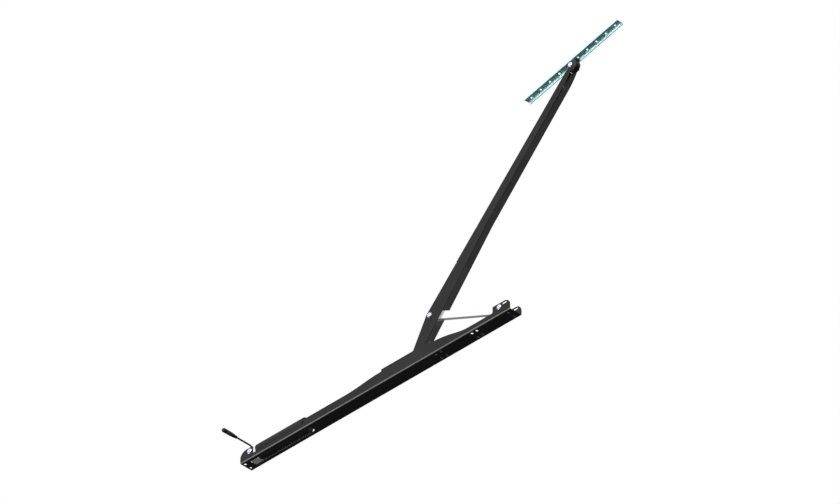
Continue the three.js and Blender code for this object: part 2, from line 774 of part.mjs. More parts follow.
function linkBar() {
  const half = LINK_SLOT.length / 2;
  const rise = LINK_SLOT.height / 2;
  const slot = roundedRectangle(-half, half, -rise, rise, rise - 0.01);
  return cut(
    plate(linkOutline(), -LINK_HALF, LINK_HALF, 9),
    plate(slot, -20, 20, 5).rotateY(-LINK_SLOT.angle),
    drill("y", BUSH_RADIUS + GAP, -20, 20, SIDES.medium).translate(linkLength, 0, 0),
  );
}

add(link, "link_bar", linkBar(), ALUMINIUM);
const linkBush = ring("y", HOLE_RADIUS, BUSH_RADIUS, -LINK_HALF, LINK_HALF);
add(link, "link_bush", linkBush.translate(linkLength, 0, 0), BRONZE);

// ---------------------------------------------------------------- ear pivot
const ear = frameAt(base, EAR);
boltSet(ear, "ear", BASE_HALF);
const SLEEVE = { inner: HOLE_RADIUS, outer: 9, from: LINK_HALF + GAP, to: BASE_INNER - GAP };
add(ear, "ear_sleeve_far", ring("y", SLEEVE.inner, SLEEVE.outer, SLEEVE.from, SLEEVE.to), ZINC);
add(ear, "ear_sleeve_near", ring("y", SLEEVE.inner, SLEEVE.outer, -SLEEVE.to, -SLEEVE.from), ZINC);

// ---------------------------------------------------------------- door rail
// Rail frame: x runs along the rail and z away from the tip pivot.
function railSection() {
  const { low, high, half, sheet } = RAIL;
  const shape = new THREE.Shape();
  const outline = [
    [-half, low],
    [-half + sheet, low],
    [-half + sheet, RAIL_WEB.low],
    [half - sheet, RAIL_WEB.low],
    [half - sheet, low],
    [half, low],
    [half, high],
    [half - sheet, high],
    [half - sheet, RAIL_WEB.high],
    [-half + sheet, RAIL_WEB.high],
    [-half + sheet, high],
    [-half, high],
  ];
  shape.setFromPoints(outline.map(([y, z]) => new THREE.Vector2(y, z)));
  return shape;
}

function doorRail() {
  const tools = [];
  const holeAt = (x, radius) => drill("z", radius, RAIL.low, RAIL.high).translate(x, 0, 0);
  for (let i = 0; i < RAIL_HOLES.count; i++) {
    tools.push(holeAt(RAIL_HOLES.first + i * RAIL_HOLES.pitch, RAIL_HOLES.radius));
  }
  tools.push(holeAt(BRACKET_SCREWS[1], 3.3));
  return cut(bar(railSection(), RAIL.from, RAIL.to), ...tools);
}

add(rail, "door_rail", doorRail(), GALVANISED);

// Bracket: a block with a wide foot under the rail's web and a round nose about the tip pivot.
function railBracket() {
  const top = RAIL_WEB.low - GAP;
  const shape = new THREE.Shape();
  shape.moveTo(-BRACKET.foot, top);
  shape.lineTo(-BRACKET.foot, BRACKET.skirt);
  shape.absarc(0, 0, BRACKET.radius, THREE.MathUtils.degToRad(160), THREE.MathUtils.degToRad(380));
  shape.lineTo(BRACKET.foot, BRACKET.skirt);
  shape.lineTo(BRACKET.foot, top);
  const boltHole = drill("y", BUSH_RADIUS + GAP, -20, 20, SIDES.medium);
  const screwHoles = BRACKET_SCREWS.map((x) => drill("z", 3, top - 9, top + 5).translate(x, 0, 0));
  return cut(plate(shape, -BRACKET.half, BRACKET.half, 9), boltHole, ...screwHoles);
}

add(rail, "rail_bracket", railBracket(), GREY_PAINT);
add(rail, "bracket_bush", ring("y", HOLE_RADIUS, BUSH_RADIUS, -BRACKET.half, BRACKET.half), BRONZE);

function bracketScrew() {
  const seat = RAIL_WEB.high + GAP;
  const screw = turned(
    "z",
    [
      [0, seat - 10],
      [2.7, seat - 10],
      [2.7, seat],
      [5.5, seat],
      [5.5, seat + 1.2],
      [3.6, seat + 2.8],
      [0, seat + 3],
    ],
    SIDES.small,
  );
  return cut(screw, hexagon("z", 4, seat + 1.2, seat + 6));
}

BRACKET_SCREWS.forEach((x, i) => {
  add(rail, `bracket_screw_${i + 1}`, bracketScrew().translate(x, 0, 0), ZINC);
});

export default part;
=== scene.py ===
import json
import math

import bmesh
import bpy
from mathutils import Matrix, Vector
from mathutils.geometry import tessellate_polygon

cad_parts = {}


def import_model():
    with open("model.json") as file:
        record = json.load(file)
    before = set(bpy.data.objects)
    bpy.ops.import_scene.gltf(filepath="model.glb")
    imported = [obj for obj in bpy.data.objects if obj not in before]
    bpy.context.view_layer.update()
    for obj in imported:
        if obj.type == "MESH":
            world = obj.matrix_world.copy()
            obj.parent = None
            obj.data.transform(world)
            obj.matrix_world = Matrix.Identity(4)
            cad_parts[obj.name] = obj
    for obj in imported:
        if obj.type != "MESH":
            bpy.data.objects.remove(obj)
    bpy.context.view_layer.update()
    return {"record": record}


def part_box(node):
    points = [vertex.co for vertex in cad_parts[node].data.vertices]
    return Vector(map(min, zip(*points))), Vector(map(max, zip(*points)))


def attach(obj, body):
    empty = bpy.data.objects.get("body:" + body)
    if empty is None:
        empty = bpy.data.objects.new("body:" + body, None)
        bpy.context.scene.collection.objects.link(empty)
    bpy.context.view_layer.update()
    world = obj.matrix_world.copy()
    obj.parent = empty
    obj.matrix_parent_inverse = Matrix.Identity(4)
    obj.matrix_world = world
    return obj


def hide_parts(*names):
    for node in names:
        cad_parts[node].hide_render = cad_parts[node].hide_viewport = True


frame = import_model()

# Shapes are drawn in millimetres in the frame of the piece they belong to. Each frame is worked
# out from the CAD nodes, so that every piece lands where the CAD says.
MM = 0.001
UNMOVED = Matrix.Identity(4)

BOLT = 5.0  # the pivots' bolts, and the holes and bushes round them, by radius
HOLE = 5.3
BUSH = 7.0
GAP = 0.3  # between pieces that touch in the real object
CORE = 0.4  # a turned end's outline stops this far from the axis, and a flat closes it

SHEET = 2.5  # the channel's and the arm's sheet
BEND_OUTER = 3.5
BEND_MIDDLE = BEND_OUTER - SHEET / 2
BEND_LENGTH = BEND_MIDDLE * math.pi / 2
BEND_SLICES = 6

CORNER_SHARE = 0.48  # the most of a side that a rounded corner takes
SHARPEST = 0.35  # limits how far an inset moves a sharp corner
QUARTER = 0.293  # how far the middle of a rounded edge lies from both faces, in radii
CLOSE = 0.01  # the tolerance for the faces of a bend
END_SCALE = 0.8  # how far a swept bar narrows at its ends


# ---- frames
def centre_of(node):
    low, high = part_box(node)
    return (low + high) / 2


def frame_at(point, towards=None):
    """Millimetres about a point in the plane y = 0, with x turned towards another point."""
    origin = Vector((point.x, 0, point.z))
    angle = math.atan2(towards.z - point.z, towards.x - point.x) if towards else 0
    return Matrix.Translation(origin) @ Matrix.Rotation(-angle, 4, "Y") @ Matrix.Scale(MM, 4)


channel_low, channel_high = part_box("base_channel")
ANCHOR = centre_of("anchor_bolt")
EAR = centre_of("ear_bolt")
KNEE = centre_of("knee_bolt")
TIP = centre_of("tip_bolt")
CARRIAGE = centre_of("carriage_axle")
PLUNGER = centre_of("release_plunger")
SCREWS = [centre_of("bracket_screw_1"), centre_of("bracket_screw_2")]

BASE = frame_at(channel_low)
SPRING = frame_at(Vector((channel_low.x, 0, ANCHOR.z)))
AT_ANCHOR = frame_at(ANCHOR)
AT_EAR = frame_at(EAR)
AT_CARRIAGE = frame_at(CARRIAGE)
ARM = frame_at(KNEE, TIP)
ARM_TIP = frame_at(TIP, TIP + (TIP - KNEE))
LINK = frame_at(KNEE, EAR)
RAIL = frame_at(TIP, TIP + (SCREWS[1] - SCREWS[0]))

ARM_LENGTH = (TIP - KNEE).length / MM
LINK_LENGTH = math.hypot(EAR.x - KNEE.x, EAR.z - KNEE.z) / MM


def in_frame(place, point):
    """A point of the object, in a frame's millimetres."""
    return place.inverted() @ point


def span_of(node, axis):
    """A node's lowest and highest place along one axis, in millimetres."""
    low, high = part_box(node)
    return low[axis] / MM, high[axis] / MM


def along(place, node):
    """A node's lowest and highest x, in a frame's millimetres."""
    low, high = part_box(node)
    return in_frame(place, low).x, in_frame(place, high).x


def half_extent(node, axis=1):
    low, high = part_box(node)
    return (high[axis] - low[axis]) / 2 / MM


# ---- outlines
def arc(cx, cy, radius, start, end, step=9):
    """Points on an arc from start to end, in degrees, both ends included."""
    count = max(2, round(abs(end - start) / step))
    angles = [math.radians(start + (end - start) * i / count) for i in range(count + 1)]
    return [(cx + radius * math.cos(a), cy + radius * math.sin(a)) for a in angles]


def circle(cx, cy, radius, count=40):
    """A round hole's loop, clockwise, so that the material is on its left."""
    angles = [2 * math.pi * i / count for i in range(count)]
    return [(cx + radius * math.cos(a), cy - radius * math.sin(a)) for a in angles]


def curve(*controls, count=14):
    """A Bezier curve through its first and last control points, without the first."""
    degree = len(controls) - 1
    points = []
    for i in range(1, count + 1):
        t = i / count
        weights = [math.comb(degree, k) * (1 - t) ** (degree - k) * t**k for k in range(degree + 1)]
        points.append(tuple(sum(w * p[k] for w, p in zip(weights, controls)) for k in (0, 1)))
    return points


def corner(before, point, after, radius, step=12):
    """The arc that rounds one corner of a polyline."""
    p = Vector(point)
    u = (Vector(before) - p).normalized()
    v = (Vector(after) - p).normalized()
    half = u.angle(v) / 2
    room = min((Vector(before) - p).length, (Vector(after) - p).length)
    reach = min(radius / math.tan(half), CORNER_SHARE * room)
    radius = reach * math.tan(half)
    centre = p + (u + v).normalized() * (radius / math.sin(half))
    start, end = p + u * reach - centre, p + v * reach - centre
    turn = start.angle_signed(end)
    count = max(2, round(math.degrees(abs(turn)) / step))
    points = []
    for i in range(count + 1):
        a = -turn * i / count
        x = start.x * math.cos(a) - start.y * math.sin(a)
        y = start.x * math.sin(a) + start.y * math.cos(a)
        points.append((centre.x + x, centre.y + y))
    return points


def rounded(points, radius, closed=True):
    """A polyline with its corners rounded. A point may carry its own radius as a third number."""
    result = []
    count = len(points)
    for i, point in enumerate(points):
        r = point[2] if len(point) > 2 else radius
        if r == 0 or (not closed and i in (0, count - 1)):
            result.append(tuple(point[:2]))
            continue
        before, after = points[i - 1][:2], points[(i + 1) % count][:2]
        result += corner(before, point[:2], after, r)
    return result


def rectangle(x0, x1, y0, y1, radius):
    return rounded([(x0, y0), (x1, y0), (x1, y1), (x0, y1)], radius)


def hole(loop):
    """An outline drawn anticlockwise, turned into a hole's loop."""
    return list(reversed(loop))


# ---- meshes
def linked(name, data):
    """A new object in the scene."""
    made = bpy.data.objects.new(name, data)
    bpy.context.scene.collection.objects.link(made)
    return made


class Shape:
    """Vertices and faces in millimetres. The faces in rims are rounded edges, where paint wears, and
    those in bends are the outsides of folds, which get a painted highlight."""

    def __init__(self, verts=(), faces=(), rims=()):
        self.verts = [Vector(v) for v in verts]
        self.faces = [tuple(f) for f in faces]
        self.rims = set(rims)
        self.bends = set()

    def moved(self, *matrices):
        whole = UNMOVED
        for m in matrices:
            whole = whole @ m
        self.verts = [whole @ v for v in self.verts]
        return self

    def mesh(self, name, place):
        mesh = bpy.data.meshes.new(name)
        mesh.from_pydata([place @ v for v in self.verts], [], self.faces)
        for name, marked in (("rim", self.rims), ("bend", self.bends)):
            layer = mesh.attributes.new(name, "FLOAT", "FACE")
            layer.data.foreach_set("value", [float(i in marked) for i in range(len(self.faces))])
        mesh.validate()
        return mesh


def inset(loop, amount):
    """A loop moved towards its left-hand side, where the material is."""
    result = []
    for i, point in enumerate(loop):
        p = Vector(point)
        a = (p - Vector(loop[i - 1])).normalized()
        b = (Vector(loop[(i + 1) % len(loop)]) - p).normalized()
        n, m = Vector((-a.y, a.x)), Vector((-b.y, b.x))
        result.append(p + (n + m) * (amount / max(SHARPEST, 1 + n.dot(m))))
    return result


def plate(loops, low, high, edge=0.4):
    """A flat plate with holes and rounded rims: the loops lie in x and y, and z runs from low to high."""
    steps = [(edge, 0.0), (edge * QUARTER, edge * QUARTER), (0.0, edge)]
    levels = [(i, low + z) for i, z in steps] + [(i, high - z) for i, z in reversed(steps)]
    wall, last = len(steps) - 1, len(levels) - 1
    verts, faces, rims, starts = [], [], set(), []
    for loop in loops:
        starts.append(len(verts))
        for amount, z in levels:
            verts += [(p[0], p[1], z) for p in inset(loop, amount)]
        count = len(loop)
        for level in range(last):
            for i in range(count):
                a = starts[-1] + level * count + i
                b = starts[-1] + level * count + (i + 1) % count
                if level != wall:
                    rims.add(len(faces))
                faces.append((a, b, b + count, a + count))
    caps = [[Vector((p.x, p.y, 0)) for p in inset(loop, edge)] for loop in loops]
    index = [(start, len(loop)) for start, loop in zip(starts, loops)]
    bottom = [start + i for start, count in index for i in range(count)]
    top = [start + last * count + i for start, count in index for i in range(count)]
    flat = [p for loop in caps for p in loop]
    for a, b, c in tessellate_polygon(caps):
        if (flat[b] - flat[a]).cross(flat[c] - flat[a]).z < 0:
            b, c = c, b
        faces.append((top[a], top[b], top[c]))
        faces.append((bottom[c], bottom[b], bottom[a]))
    return Shape(verts, faces, rims)


def sliced(shape, stations):
    """The shape cut by planes of constant y, so that it can be folded there."""
    mesh = shape.mesh("flat_pattern", UNMOVED)
    bm = bmesh.new()
    bm.from_mesh(mesh)
    for y in stations:
        everything = bm.verts[:] + bm.edges[:] + bm.faces[:]
        bmesh.ops.bisect_plane(bm, geom=everything, dist=1e-5, plane_co=(0, y, 0), plane_no=(0, 1, 0))
    layer = bm.faces.layers.float.get("rim")
    bm.verts.index_update()
    rims = [i for i, f in enumerate(bm.faces) if f[layer] > 0.5]
    result = Shape([v.co.copy() for v in bm.verts], [[v.index for v in f.verts] for f in bm.faces], rims)
    bm.free()
    bpy.data.meshes.remove(mesh)
    return result


def unrolled(half, depth):
    """Where a point of a flange lies in the flat pattern, from its depth under the web's outside."""
    return half - BEND_OUTER + BEND_LENGTH + depth - BEND_OUTER


def folded(shape, half, upwards, flat_beyond=None):
    """Folds a flat pattern into a channel 2 * half wide. Its z runs through the sheet, outside positive.
    Past the two stations in flat_beyond there is no web, and the flanges stay flat to their edges."""
    flat = half - BEND_OUTER
    stations = [flat + BEND_LENGTH * k / BEND_SLICES for k in range(BEND_SLICES + 1)]
    shape = sliced(shape, stations + [-s for s in stations])
    sign = 1 if upwards else -1
    for i, face in enumerate(shape.faces):
        corners = [shape.verts[k] for k in face]
        outside = all(c.z > SHEET / 2 - CLOSE for c in corners)
        if outside and all(flat - CLOSE < abs(c.y) < flat + BEND_LENGTH + CLOSE for c in corners):
            shape.bends.add(i)
    for v in shape.verts:
        u, w, side = abs(v.y), v.z, math.copysign(1, v.y)
        beyond = flat_beyond and not flat_beyond[0] < v.x < flat_beyond[1]
        if u > flat + BEND_LENGTH or beyond:
            y, depth = half - SHEET / 2 + w, BEND_OUTER + u - flat - BEND_LENGTH
        elif u > flat:
            turn = (u - flat) / BEND_MIDDLE
            y = flat + (BEND_MIDDLE + w) * math.sin(turn)
            depth = BEND_OUTER - (BEND_MIDDLE + w) * math.cos(turn)
        else:
            y, depth = u, SHEET / 2 - w
        v.y, v.z = side * y, sign * depth
    if upwards:
        shape.faces = [tuple(reversed(f)) for f in shape.faces]
    return shape


def loft(rings, closed=False, count=48):
    """Joins rings about the z axis. A ring is a (radius, height) pair, or a function of the angle that
    gives one. Closed joins the last ring to the first, and otherwise both ends are capped."""
    verts, faces = [], []
    for ring in rings:
        for i in range(count):
            a = 2 * math.pi * i / count
            r, h = ring(a) if callable(ring) else ring
            verts.append((r * math.cos(a), r * math.sin(a), h))
    spans = len(rings) if closed else len(rings) - 1
    for k in range(spans):
        low, high = k * count, (k + 1) % len(rings) * count
        for i in range(count):
            j = (i + 1) % count
            faces.append((low + i, low + j, high + j, high + i))
    if not closed:
        faces.append(tuple(reversed(range(count))))
        faces.append(tuple(range((len(rings) - 1) * count, len(rings) * count)))
    return Shape(verts, faces)


def turned(profile, radius=0.5, closed=False, count=64):
    """A turned piece about z. The profile is anticlockwise, with the axis on its left, and its
    corners are rounded."""
    return loft(rounded(profile, radius, closed), closed, count)


def ring(inner, outer, low, high, edge=0.4, count=64):
    return turned([(inner, low), (outer, low), (outer, high), (inner, high)], edge, True, count)


def pin(radius, low, high, low_edge=0, high_edge=0, count=64):
    """A solid cylinder about z, with rounded edges where they are given."""
    profile = [(CORE, low), (radius, low, low_edge), (radius, high, high_edge), (CORE, high)]
    return turned(profile, 0, False, count)


def hexagon(across, angle):
    """A hexagon's radius at an angle, from its width across flats."""
    sector = math.pi / 3
    return across / 2 / math.cos((angle + sector / 2) % sector - sector / 2)


def sweep(points, radius, sides=24):
    """A round bar along a polyline that lies in the plane x = 0."""
    verts, faces = [], []
    for i, p in enumerate(points):
        a, b = points[max(0, i - 1)], points[min(len(points) - 1, i + 1)]
        along = (Vector(b) - Vector(a)).normalized()
        side = Vector((1, 0, 0))
        up = along.cross(side)
        scale = radius * (END_SCALE if i in (0, len(points) - 1) else 1)
        for k in range(sides):
            t = 2 * math.pi * k / sides
            verts.append(Vector(p) + (side * math.cos(t) + up * math.sin(t)) * scale)
    for i in range(len(points) - 1):
        for k in range(sides):
            j = (k + 1) % sides
            low, high = i * sides, (i + 1) * sides
            faces.append((low + k, high + k, high + j, low + j))
    faces.append(tuple(range(sides)))
    faces.append(tuple(reversed(range((len(points) - 1) * sides, len(points) * sides))))
    return Shape(verts, faces)


TO_X = Matrix.Rotation(math.pi / 2, 4, "Y")  # turns z to +x
TO_Y = Matrix.Rotation(-math.pi / 2, 4, "X")  # turns z to +y
TO_NEAR = Matrix.Rotation(math.pi / 2, 4, "X")  # turns z to -y
FACE_UP = TO_NEAR  # and stands a plate up that is drawn in x and y


def at(x, y, z):
    return Matrix.Translation((x, y, z))


def boolean(body, tool, operation):
    """One solid joined with another or cut by it."""
    name = "boolean_input"
    objects = [linked(name, shape.mesh(name, UNMOVED)) for shape in (body, tool)]
    modifier = objects[0].modifiers.new("boolean", "BOOLEAN")
    modifier.operation = operation
    modifier.solver = "EXACT"
    modifier.object = objects[1]
    graph = bpy.context.evaluated_depsgraph_get()
    mesh = bpy.data.meshes.new_from_object(objects[0].evaluated_get(graph))
    rim = mesh.attributes.get("rim")
    rims = [i for i, value in enumerate(rim.data) if value.value > 0.5] if rim else []
    result = Shape([v.co.copy() for v in mesh.vertices], [p.vertices[:] for p in mesh.polygons], rims)
    for o in objects:
        bpy.data.meshes.remove(o.data)
    bpy.data.meshes.remove(mesh)
    return result


def join(first, *others):
    for other in others:
        first = boolean(first, other, "UNION")
    return first


def cut(body, *tools):
    for tool in tools:
        body = boolean(body, tool, "DIFFERENCE")
    return body


# ---- materials
def add_node(tree, kind, inputs=None, **settings):
    """A new node. An input that is given as a socket is linked, and any other is set."""
    made = tree.nodes.new("ShaderNode" + kind)
    for key, value in settings.items():
        setattr(made, key, value)
    for key, value in (inputs or {}).items():
        if isinstance(value, bpy.types.NodeSocket):
            tree.links.new(value, made.inputs[key])
        else:
            made.inputs[key].default_value = value
    return made


class Finish:
    """A node material under construction."""

    def __init__(self, name):
        self.material = bpy.data.materials.new(name)
        self.material.use_nodes = True
        self.tree = self.material.node_tree
        self.tree.nodes.clear()
        self.coordinates = self.node("TexCoord").outputs["Object"]

    def node(self, kind, inputs=None, **settings):
        return add_node(self.tree, kind, inputs, **settings)

    def noise(self, scale, detail, roughness, stretch=(1, 1, 1)):
        vector = self.coordinates
        if stretch != (1, 1, 1):
            vector = self.node("Mapping", {"Vector": vector, "Scale": stretch}).outputs[0]
        inputs = {"Vector": vector, "Scale": scale, "Detail": detail, "Roughness": roughness}
        return self.node("TexNoise", inputs).outputs["Fac"]

    def spangle(self, scale, channel):
        """One random value for each crystal."""
        crystals = self.node("TexVoronoi", {"Vector": self.coordinates, "Scale": scale})
        return self.node("SeparateColor", {"Color": crystals.outputs["Color"]}).outputs[channel]

    def attribute(self, name):
        return self.node("Attribute", attribute_name=name).outputs["Fac"]

    def ramp(self, value, low, high, out_low=0, out_high=1):
        inputs = {"Value": value, 1: low, 2: high, 3: out_low, 4: out_high}
        return self.node("MapRange", inputs).outputs[0]

    def times(self, a, b):
        return self.node("Math", {0: a, 1: b}, operation="MULTIPLY").outputs[0]

    def mix(self, factor, a, b):
        inputs = {0: factor, 6: a, 7: b}
        return self.node("Mix", inputs, data_type="RGBA").outputs[2]

    def bump(self, height, distance, strength, normal=None):
        inputs = {"Height": height, "Distance": distance, "Strength": strength}
        if normal:
            inputs["Normal"] = normal
        return self.node("Bump", inputs).outputs[0]

    def done(self, **shader):
        inputs = {k.replace("_", " ").title().replace("Ior", "IOR"): v for k, v in shader.items()}
        bsdf = self.node("BsdfPrincipled", inputs)
        self.node("OutputMaterial", {"Surface": bsdf.outputs[0]})
        return self.material


def shade(colour, factor):
    return (*(c * factor for c in colour), 1.0)


def powder_coat(name, colour, roughness, wear):
    """Textured powder coat, with bare steel showing here and there along its edges, and a painted
    highlight of lighter grey along the outsides of its folds.
    """
    f = Finish(name)
    patches = f.noise(7, 4, 0.6)
    grain = f.noise(1100, 2, 0.6)
    pits = f.noise(260, 3, 0.7)
    scuffs = f.noise(28, 6, 0.72, (1, 3, 3))
    tone = f.mix(f.ramp(patches, 0.35, 0.65), shade(colour, 0.88), shade(colour, 1.12))
    speckled = f.mix(f.ramp(grain, 0.56, 0.74, 0, 0.35), tone, shade(colour, 1.9))
    rim = f.attribute("rim")
    bare = f.times(rim, f.ramp(scuffs, 0.50, 0.60, 0.10 * wear, 0.75 * wear))
    rub = f.times(f.ramp(scuffs, 0.60, 0.75, 0, 0.35), f.ramp(pits, 0.45, 0.6))
    rubbed = f.mix(rub, speckled, shade(colour, 1.6))
    # Painted highlight: a lighter grey on the outsides of folds stands in for the light a bend catches.
    bend_highlight = f.times(f.attribute("bend"), f.ramp(scuffs, 0.35, 0.6, 0.75, 1.0))
    bend_highlighted = f.mix(bend_highlight, rubbed, (0.17, 0.17, 0.175, 1))
    gloss = f.ramp(f.noise(35, 5, 0.65), 0.3, 0.7, roughness - 0.07, roughness + 0.09)
    peel = f.bump(grain, 0.00006, 0.5)
    return f.done(
        base_color=f.mix(bare, bend_highlighted, (0.20, 0.20, 0.205, 1)),
        metallic=f.times(bare, 0.8),
        roughness=gloss,
        normal=f.bump(pits, 0.00015, 0.35, peel),
        specular_ior_level=0.07,
    )


def plated(name, colour, roughness, tint, brush=(1, 1, 1), metal=1.0):
    """Zinc-plated or bright steel: faint colour clouds, fine drawing marks and small stains."""
    f = Finish(name)
    clouds = f.noise(90, 4, 0.6)
    marks = f.noise(420, 3, 0.6, brush)
    stains = f.noise(45, 5, 0.7)
    tinted = f.mix(f.ramp(clouds, 0.35, 0.65), shade(colour, 1.0), (*tint, 1.0))
    dulled = f.mix(f.ramp(stains, 0.58, 0.72, 0, 0.5), tinted, shade(colour, 0.62))
    gloss = f.ramp(marks, 0.3, 0.7, roughness - 0.06, roughness + 0.10)
    return f.done(
        base_color=dulled,
        metallic=metal,
        roughness=gloss,
        normal=f.bump(marks, 0.00004, 0.35),
    )


def galvanised(name):
    """Hot-dip zinc: crystal spangle in two sizes, white bloom and rolling marks."""
    f = Finish(name)
    crystals = f.spangle(120, 0)
    flakes = f.spangle(310, 1)
    bloom = f.noise(22, 5, 0.65)
    rolled = f.noise(160, 3, 0.6, (0.06, 1, 1))
    tone = f.mix(crystals, (0.66, 0.93, 0.94, 1), (0.72, 0.98, 0.98, 1))
    flecked = f.mix(f.times(flakes, 0.25), tone, (0.60, 0.86, 0.88, 1))
    whitened = f.mix(f.ramp(bloom, 0.5, 0.75, 0, 0.35), flecked, (0.74, 0.94, 0.93, 1))
    return f.done(
        base_color=whitened,
        metallic=f.ramp(bloom, 0.45, 0.8, 0.80, 0.70),
        roughness=f.ramp(crystals, 0, 1, 0.30, 0.48),
        normal=f.bump(rolled, 0.00006, 0.4, f.bump(crystals, 0.00004, 0.35)),
    )


def satin_aluminium(name):
    """Extruded aluminium with long die lines and light handling marks."""
    f = Finish(name)
    lines = f.noise(240, 2, 0.5, (0.03, 1, 1))
    clouds = f.noise(14, 4, 0.6)
    nicks = f.noise(130, 6, 0.75)
    tone = f.mix(f.ramp(clouds, 0.3, 0.7), (0.91, 0.91, 0.92, 1), (0.96, 0.96, 0.97, 1))
    marked = f.mix(f.ramp(nicks, 0.64, 0.74, 0, 0.4), tone, (0.7, 0.7, 0.72, 1))
    return f.done(
        base_color=marked,
        metallic=0.84,
        roughness=f.ramp(lines, 0.3, 0.7, 0.30, 0.44),
        normal=f.bump(lines, 0.00005, 0.4),
    )


def cast_aluminium(name):
    """Die-cast aluminium: finely blasted skin with flow marks."""
    f = Finish(name)
    blast = f.noise(900, 3, 0.65)
    flow = f.noise(40, 4, 0.6, (1, 2, 1))
    tone = f.mix(f.ramp(flow, 0.35, 0.65), (0.66, 0.66, 0.66, 1), (0.78, 0.77, 0.79, 1))
    return f.done(
        base_color=tone,
        metallic=0.7,
        roughness=f.ramp(blast, 0.3, 0.7, 0.42, 0.62),
        normal=f.bump(blast, 0.0001, 0.5),
    )


def moulded(name, colour, roughness, grain=700, depth=0.00008):
    """Moulded nylon or rubber: fine tooth, dusty patches and a soft sheen."""
    f = Finish(name)
    tooth = f.noise(grain, 3, 0.6)
    dust = f.noise(18, 5, 0.65)
    tone = f.mix(f.ramp(dust, 0.45, 0.75), shade(colour, 1.0), shade(colour, 1.9))
    return f.done(
        base_color=tone,
        roughness=f.ramp(tooth, 0.3, 0.7, roughness - 0.06, roughness + 0.08),
        normal=f.bump(tooth, depth, 0.5),
        specular_ior_level=0.3,
    )


def dipped(name):
    """A steel rod dipped in black paint up to its bend: the faces marked as rims are bare."""
    f = Finish(name)
    drag = f.noise(220, 3, 0.6, (1, 0.1, 1))
    runs = f.noise(60, 4, 0.6)
    black = f.mix(f.ramp(runs, 0.4, 0.7), (0.012, 0.012, 0.013, 1), (0.024, 0.024, 0.025, 1))
    steel = f.mix(f.ramp(drag, 0.35, 0.65), (0.58, 0.60, 0.66, 1), (0.74, 0.76, 0.82, 1))
    rim = f.attribute("rim")
    return f.done(
        base_color=f.mix(rim, black, steel),
        metallic=f.times(rim, 0.9),
        roughness=f.ramp(drag, 0.3, 0.7, 0.26, 0.42),
        normal=f.bump(drag, 0.00003, 0.4),
        specular_ior_level=0.3,
    )


def sintered(name):
    """Oil-filled sintered bronze: open pores and darker oily patches."""
    f = Finish(name)
    pores = f.noise(1500, 4, 0.7)
    oil = f.noise(60, 4, 0.6)
    tone = f.mix(f.ramp(pores, 0.4, 0.62), (0.30, 0.17, 0.07, 1), (0.66, 0.42, 0.20, 1))
    return f.done(
        base_color=f.mix(f.ramp(oil, 0.45, 0.65, 0, 0.5), tone, (0.22, 0.13, 0.06, 1)),
        metallic=0.9,
        roughness=f.ramp(pores, 0.3, 0.7, 0.32, 0.5),
        normal=f.bump(pores, 0.00005, 0.6),
    )


RECIPES = {
    "black_paint": (powder_coat, (0.0165, 0.0165, 0.017), 0.48, 0.4),
    "grey_paint": (powder_coat, (0.030, 0.029, 0.031), 0.46, 0.3),
    "zinc": (plated, (0.76, 0.80, 0.94), 0.28, (0.80, 0.83, 0.95), (1, 1, 1), 0.88),
    "galvanised": (galvanised,),
    "aluminium": (satin_aluminium,),
    "cast_aluminium": (cast_aluminium,),
    "bright_steel": (plated, (0.78, 0.79, 0.81), 0.16, (0.84, 0.84, 0.84), (0.05, 1, 1)),
    "nylon": (moulded, (0.022, 0.022, 0.025), 0.52),
    "rubber": (moulded, (0.013, 0.013, 0.014), 0.70, 420, 0.00016),
    "bronze": (sintered,),
    "dipped_rod": (dipped,),
}
FINISHES = {name: make(name, *values) for name, (make, *values) in RECIPES.items()}
SLOTS = {sub["node"]: sub["material_slot"] for sub in frame["record"]["subparts"]}


# ---- pieces
def body_of(node):
    return next(body for body, nodes in frame["record"]["behaviour"]["bodies"].items() if node in nodes)


def piece(node, shape, place, finish=None):
    """Puts a detailed piece in the place of a CAD node."""
    mesh = shape.mesh(node + "_detail", place)
    mesh.materials.append(FINISHES[finish or SLOTS[node]])
    mesh.shade_smooth()
    made = linked(node + "_detail", mesh)
    normals = made.modifiers.new("even_normals", "WEIGHTED_NORMAL")
    normals.weight = 90
    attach(made, body_of(node))
    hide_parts(node)


# ---- base channel
BASE_HALF = half_extent("base_channel")
BASE_LENGTH = (channel_high.x - channel_low.x) / MM
BASE_TOP = (channel_high.z - channel_low.z) / MM
BASE_CORNER = 30
EAR_TOP = 51
FLOOR_WINDOW = (37, 350, -15.2, 15.2)
FLOOR_HOLES = (11, 1008, 1034, 1197, 1222, 1386)  # the places of the pairs of fixing holes
FLOOR_HOLE_SIDES = (-15, 15.5)
FLOOR_HOLE = 5.2
EAR_SLOT = (1369.5, 1392.5)


def flange_edge():
    """The free edge of one flange from the spring's end to the ears, as x and height."""
    nose, shoulder, hump = 50, 51, 51.5
    notch, bench, waist = 18, 37.5, 24  # beside the tube, behind it, and before the ears
    end = BASE_LENGTH - BASE_CORNER
    beside_tube = [(66, nose, 2.5), (66, notch, 5), (330, notch, 5), (330, bench, 2), (400, bench)]
    lifted = [
        (700, shoulder), (737, shoulder, 2), (737, BASE_TOP, 2.5), (978, BASE_TOP, 2.5),
        (978, hump, 2), (1010, hump),
    ]
    ear = [(1200, waist), (1319, waist, 8), (1319, EAR_TOP, 4), (end - 1, EAR_TOP)]
    points = arc(BASE_CORNER, nose - BASE_CORNER, BASE_CORNER, 180, 90)
    points += rounded([points[-1], *beside_tube], 1, False)[1:-1]
    points += curve((540, bench), (620, bench), (660, shoulder), (737, shoulder))[:-1]
    points += rounded(lifted, 1, False)[1:-1]
    points += curve((1000, hump), (1085, hump), (1135, waist), (1190, waist))
    points += rounded(ear, 1, False)[1:-1]
    return points + arc(end, EAR_TOP - BASE_CORNER, BASE_CORNER, 90, 0)


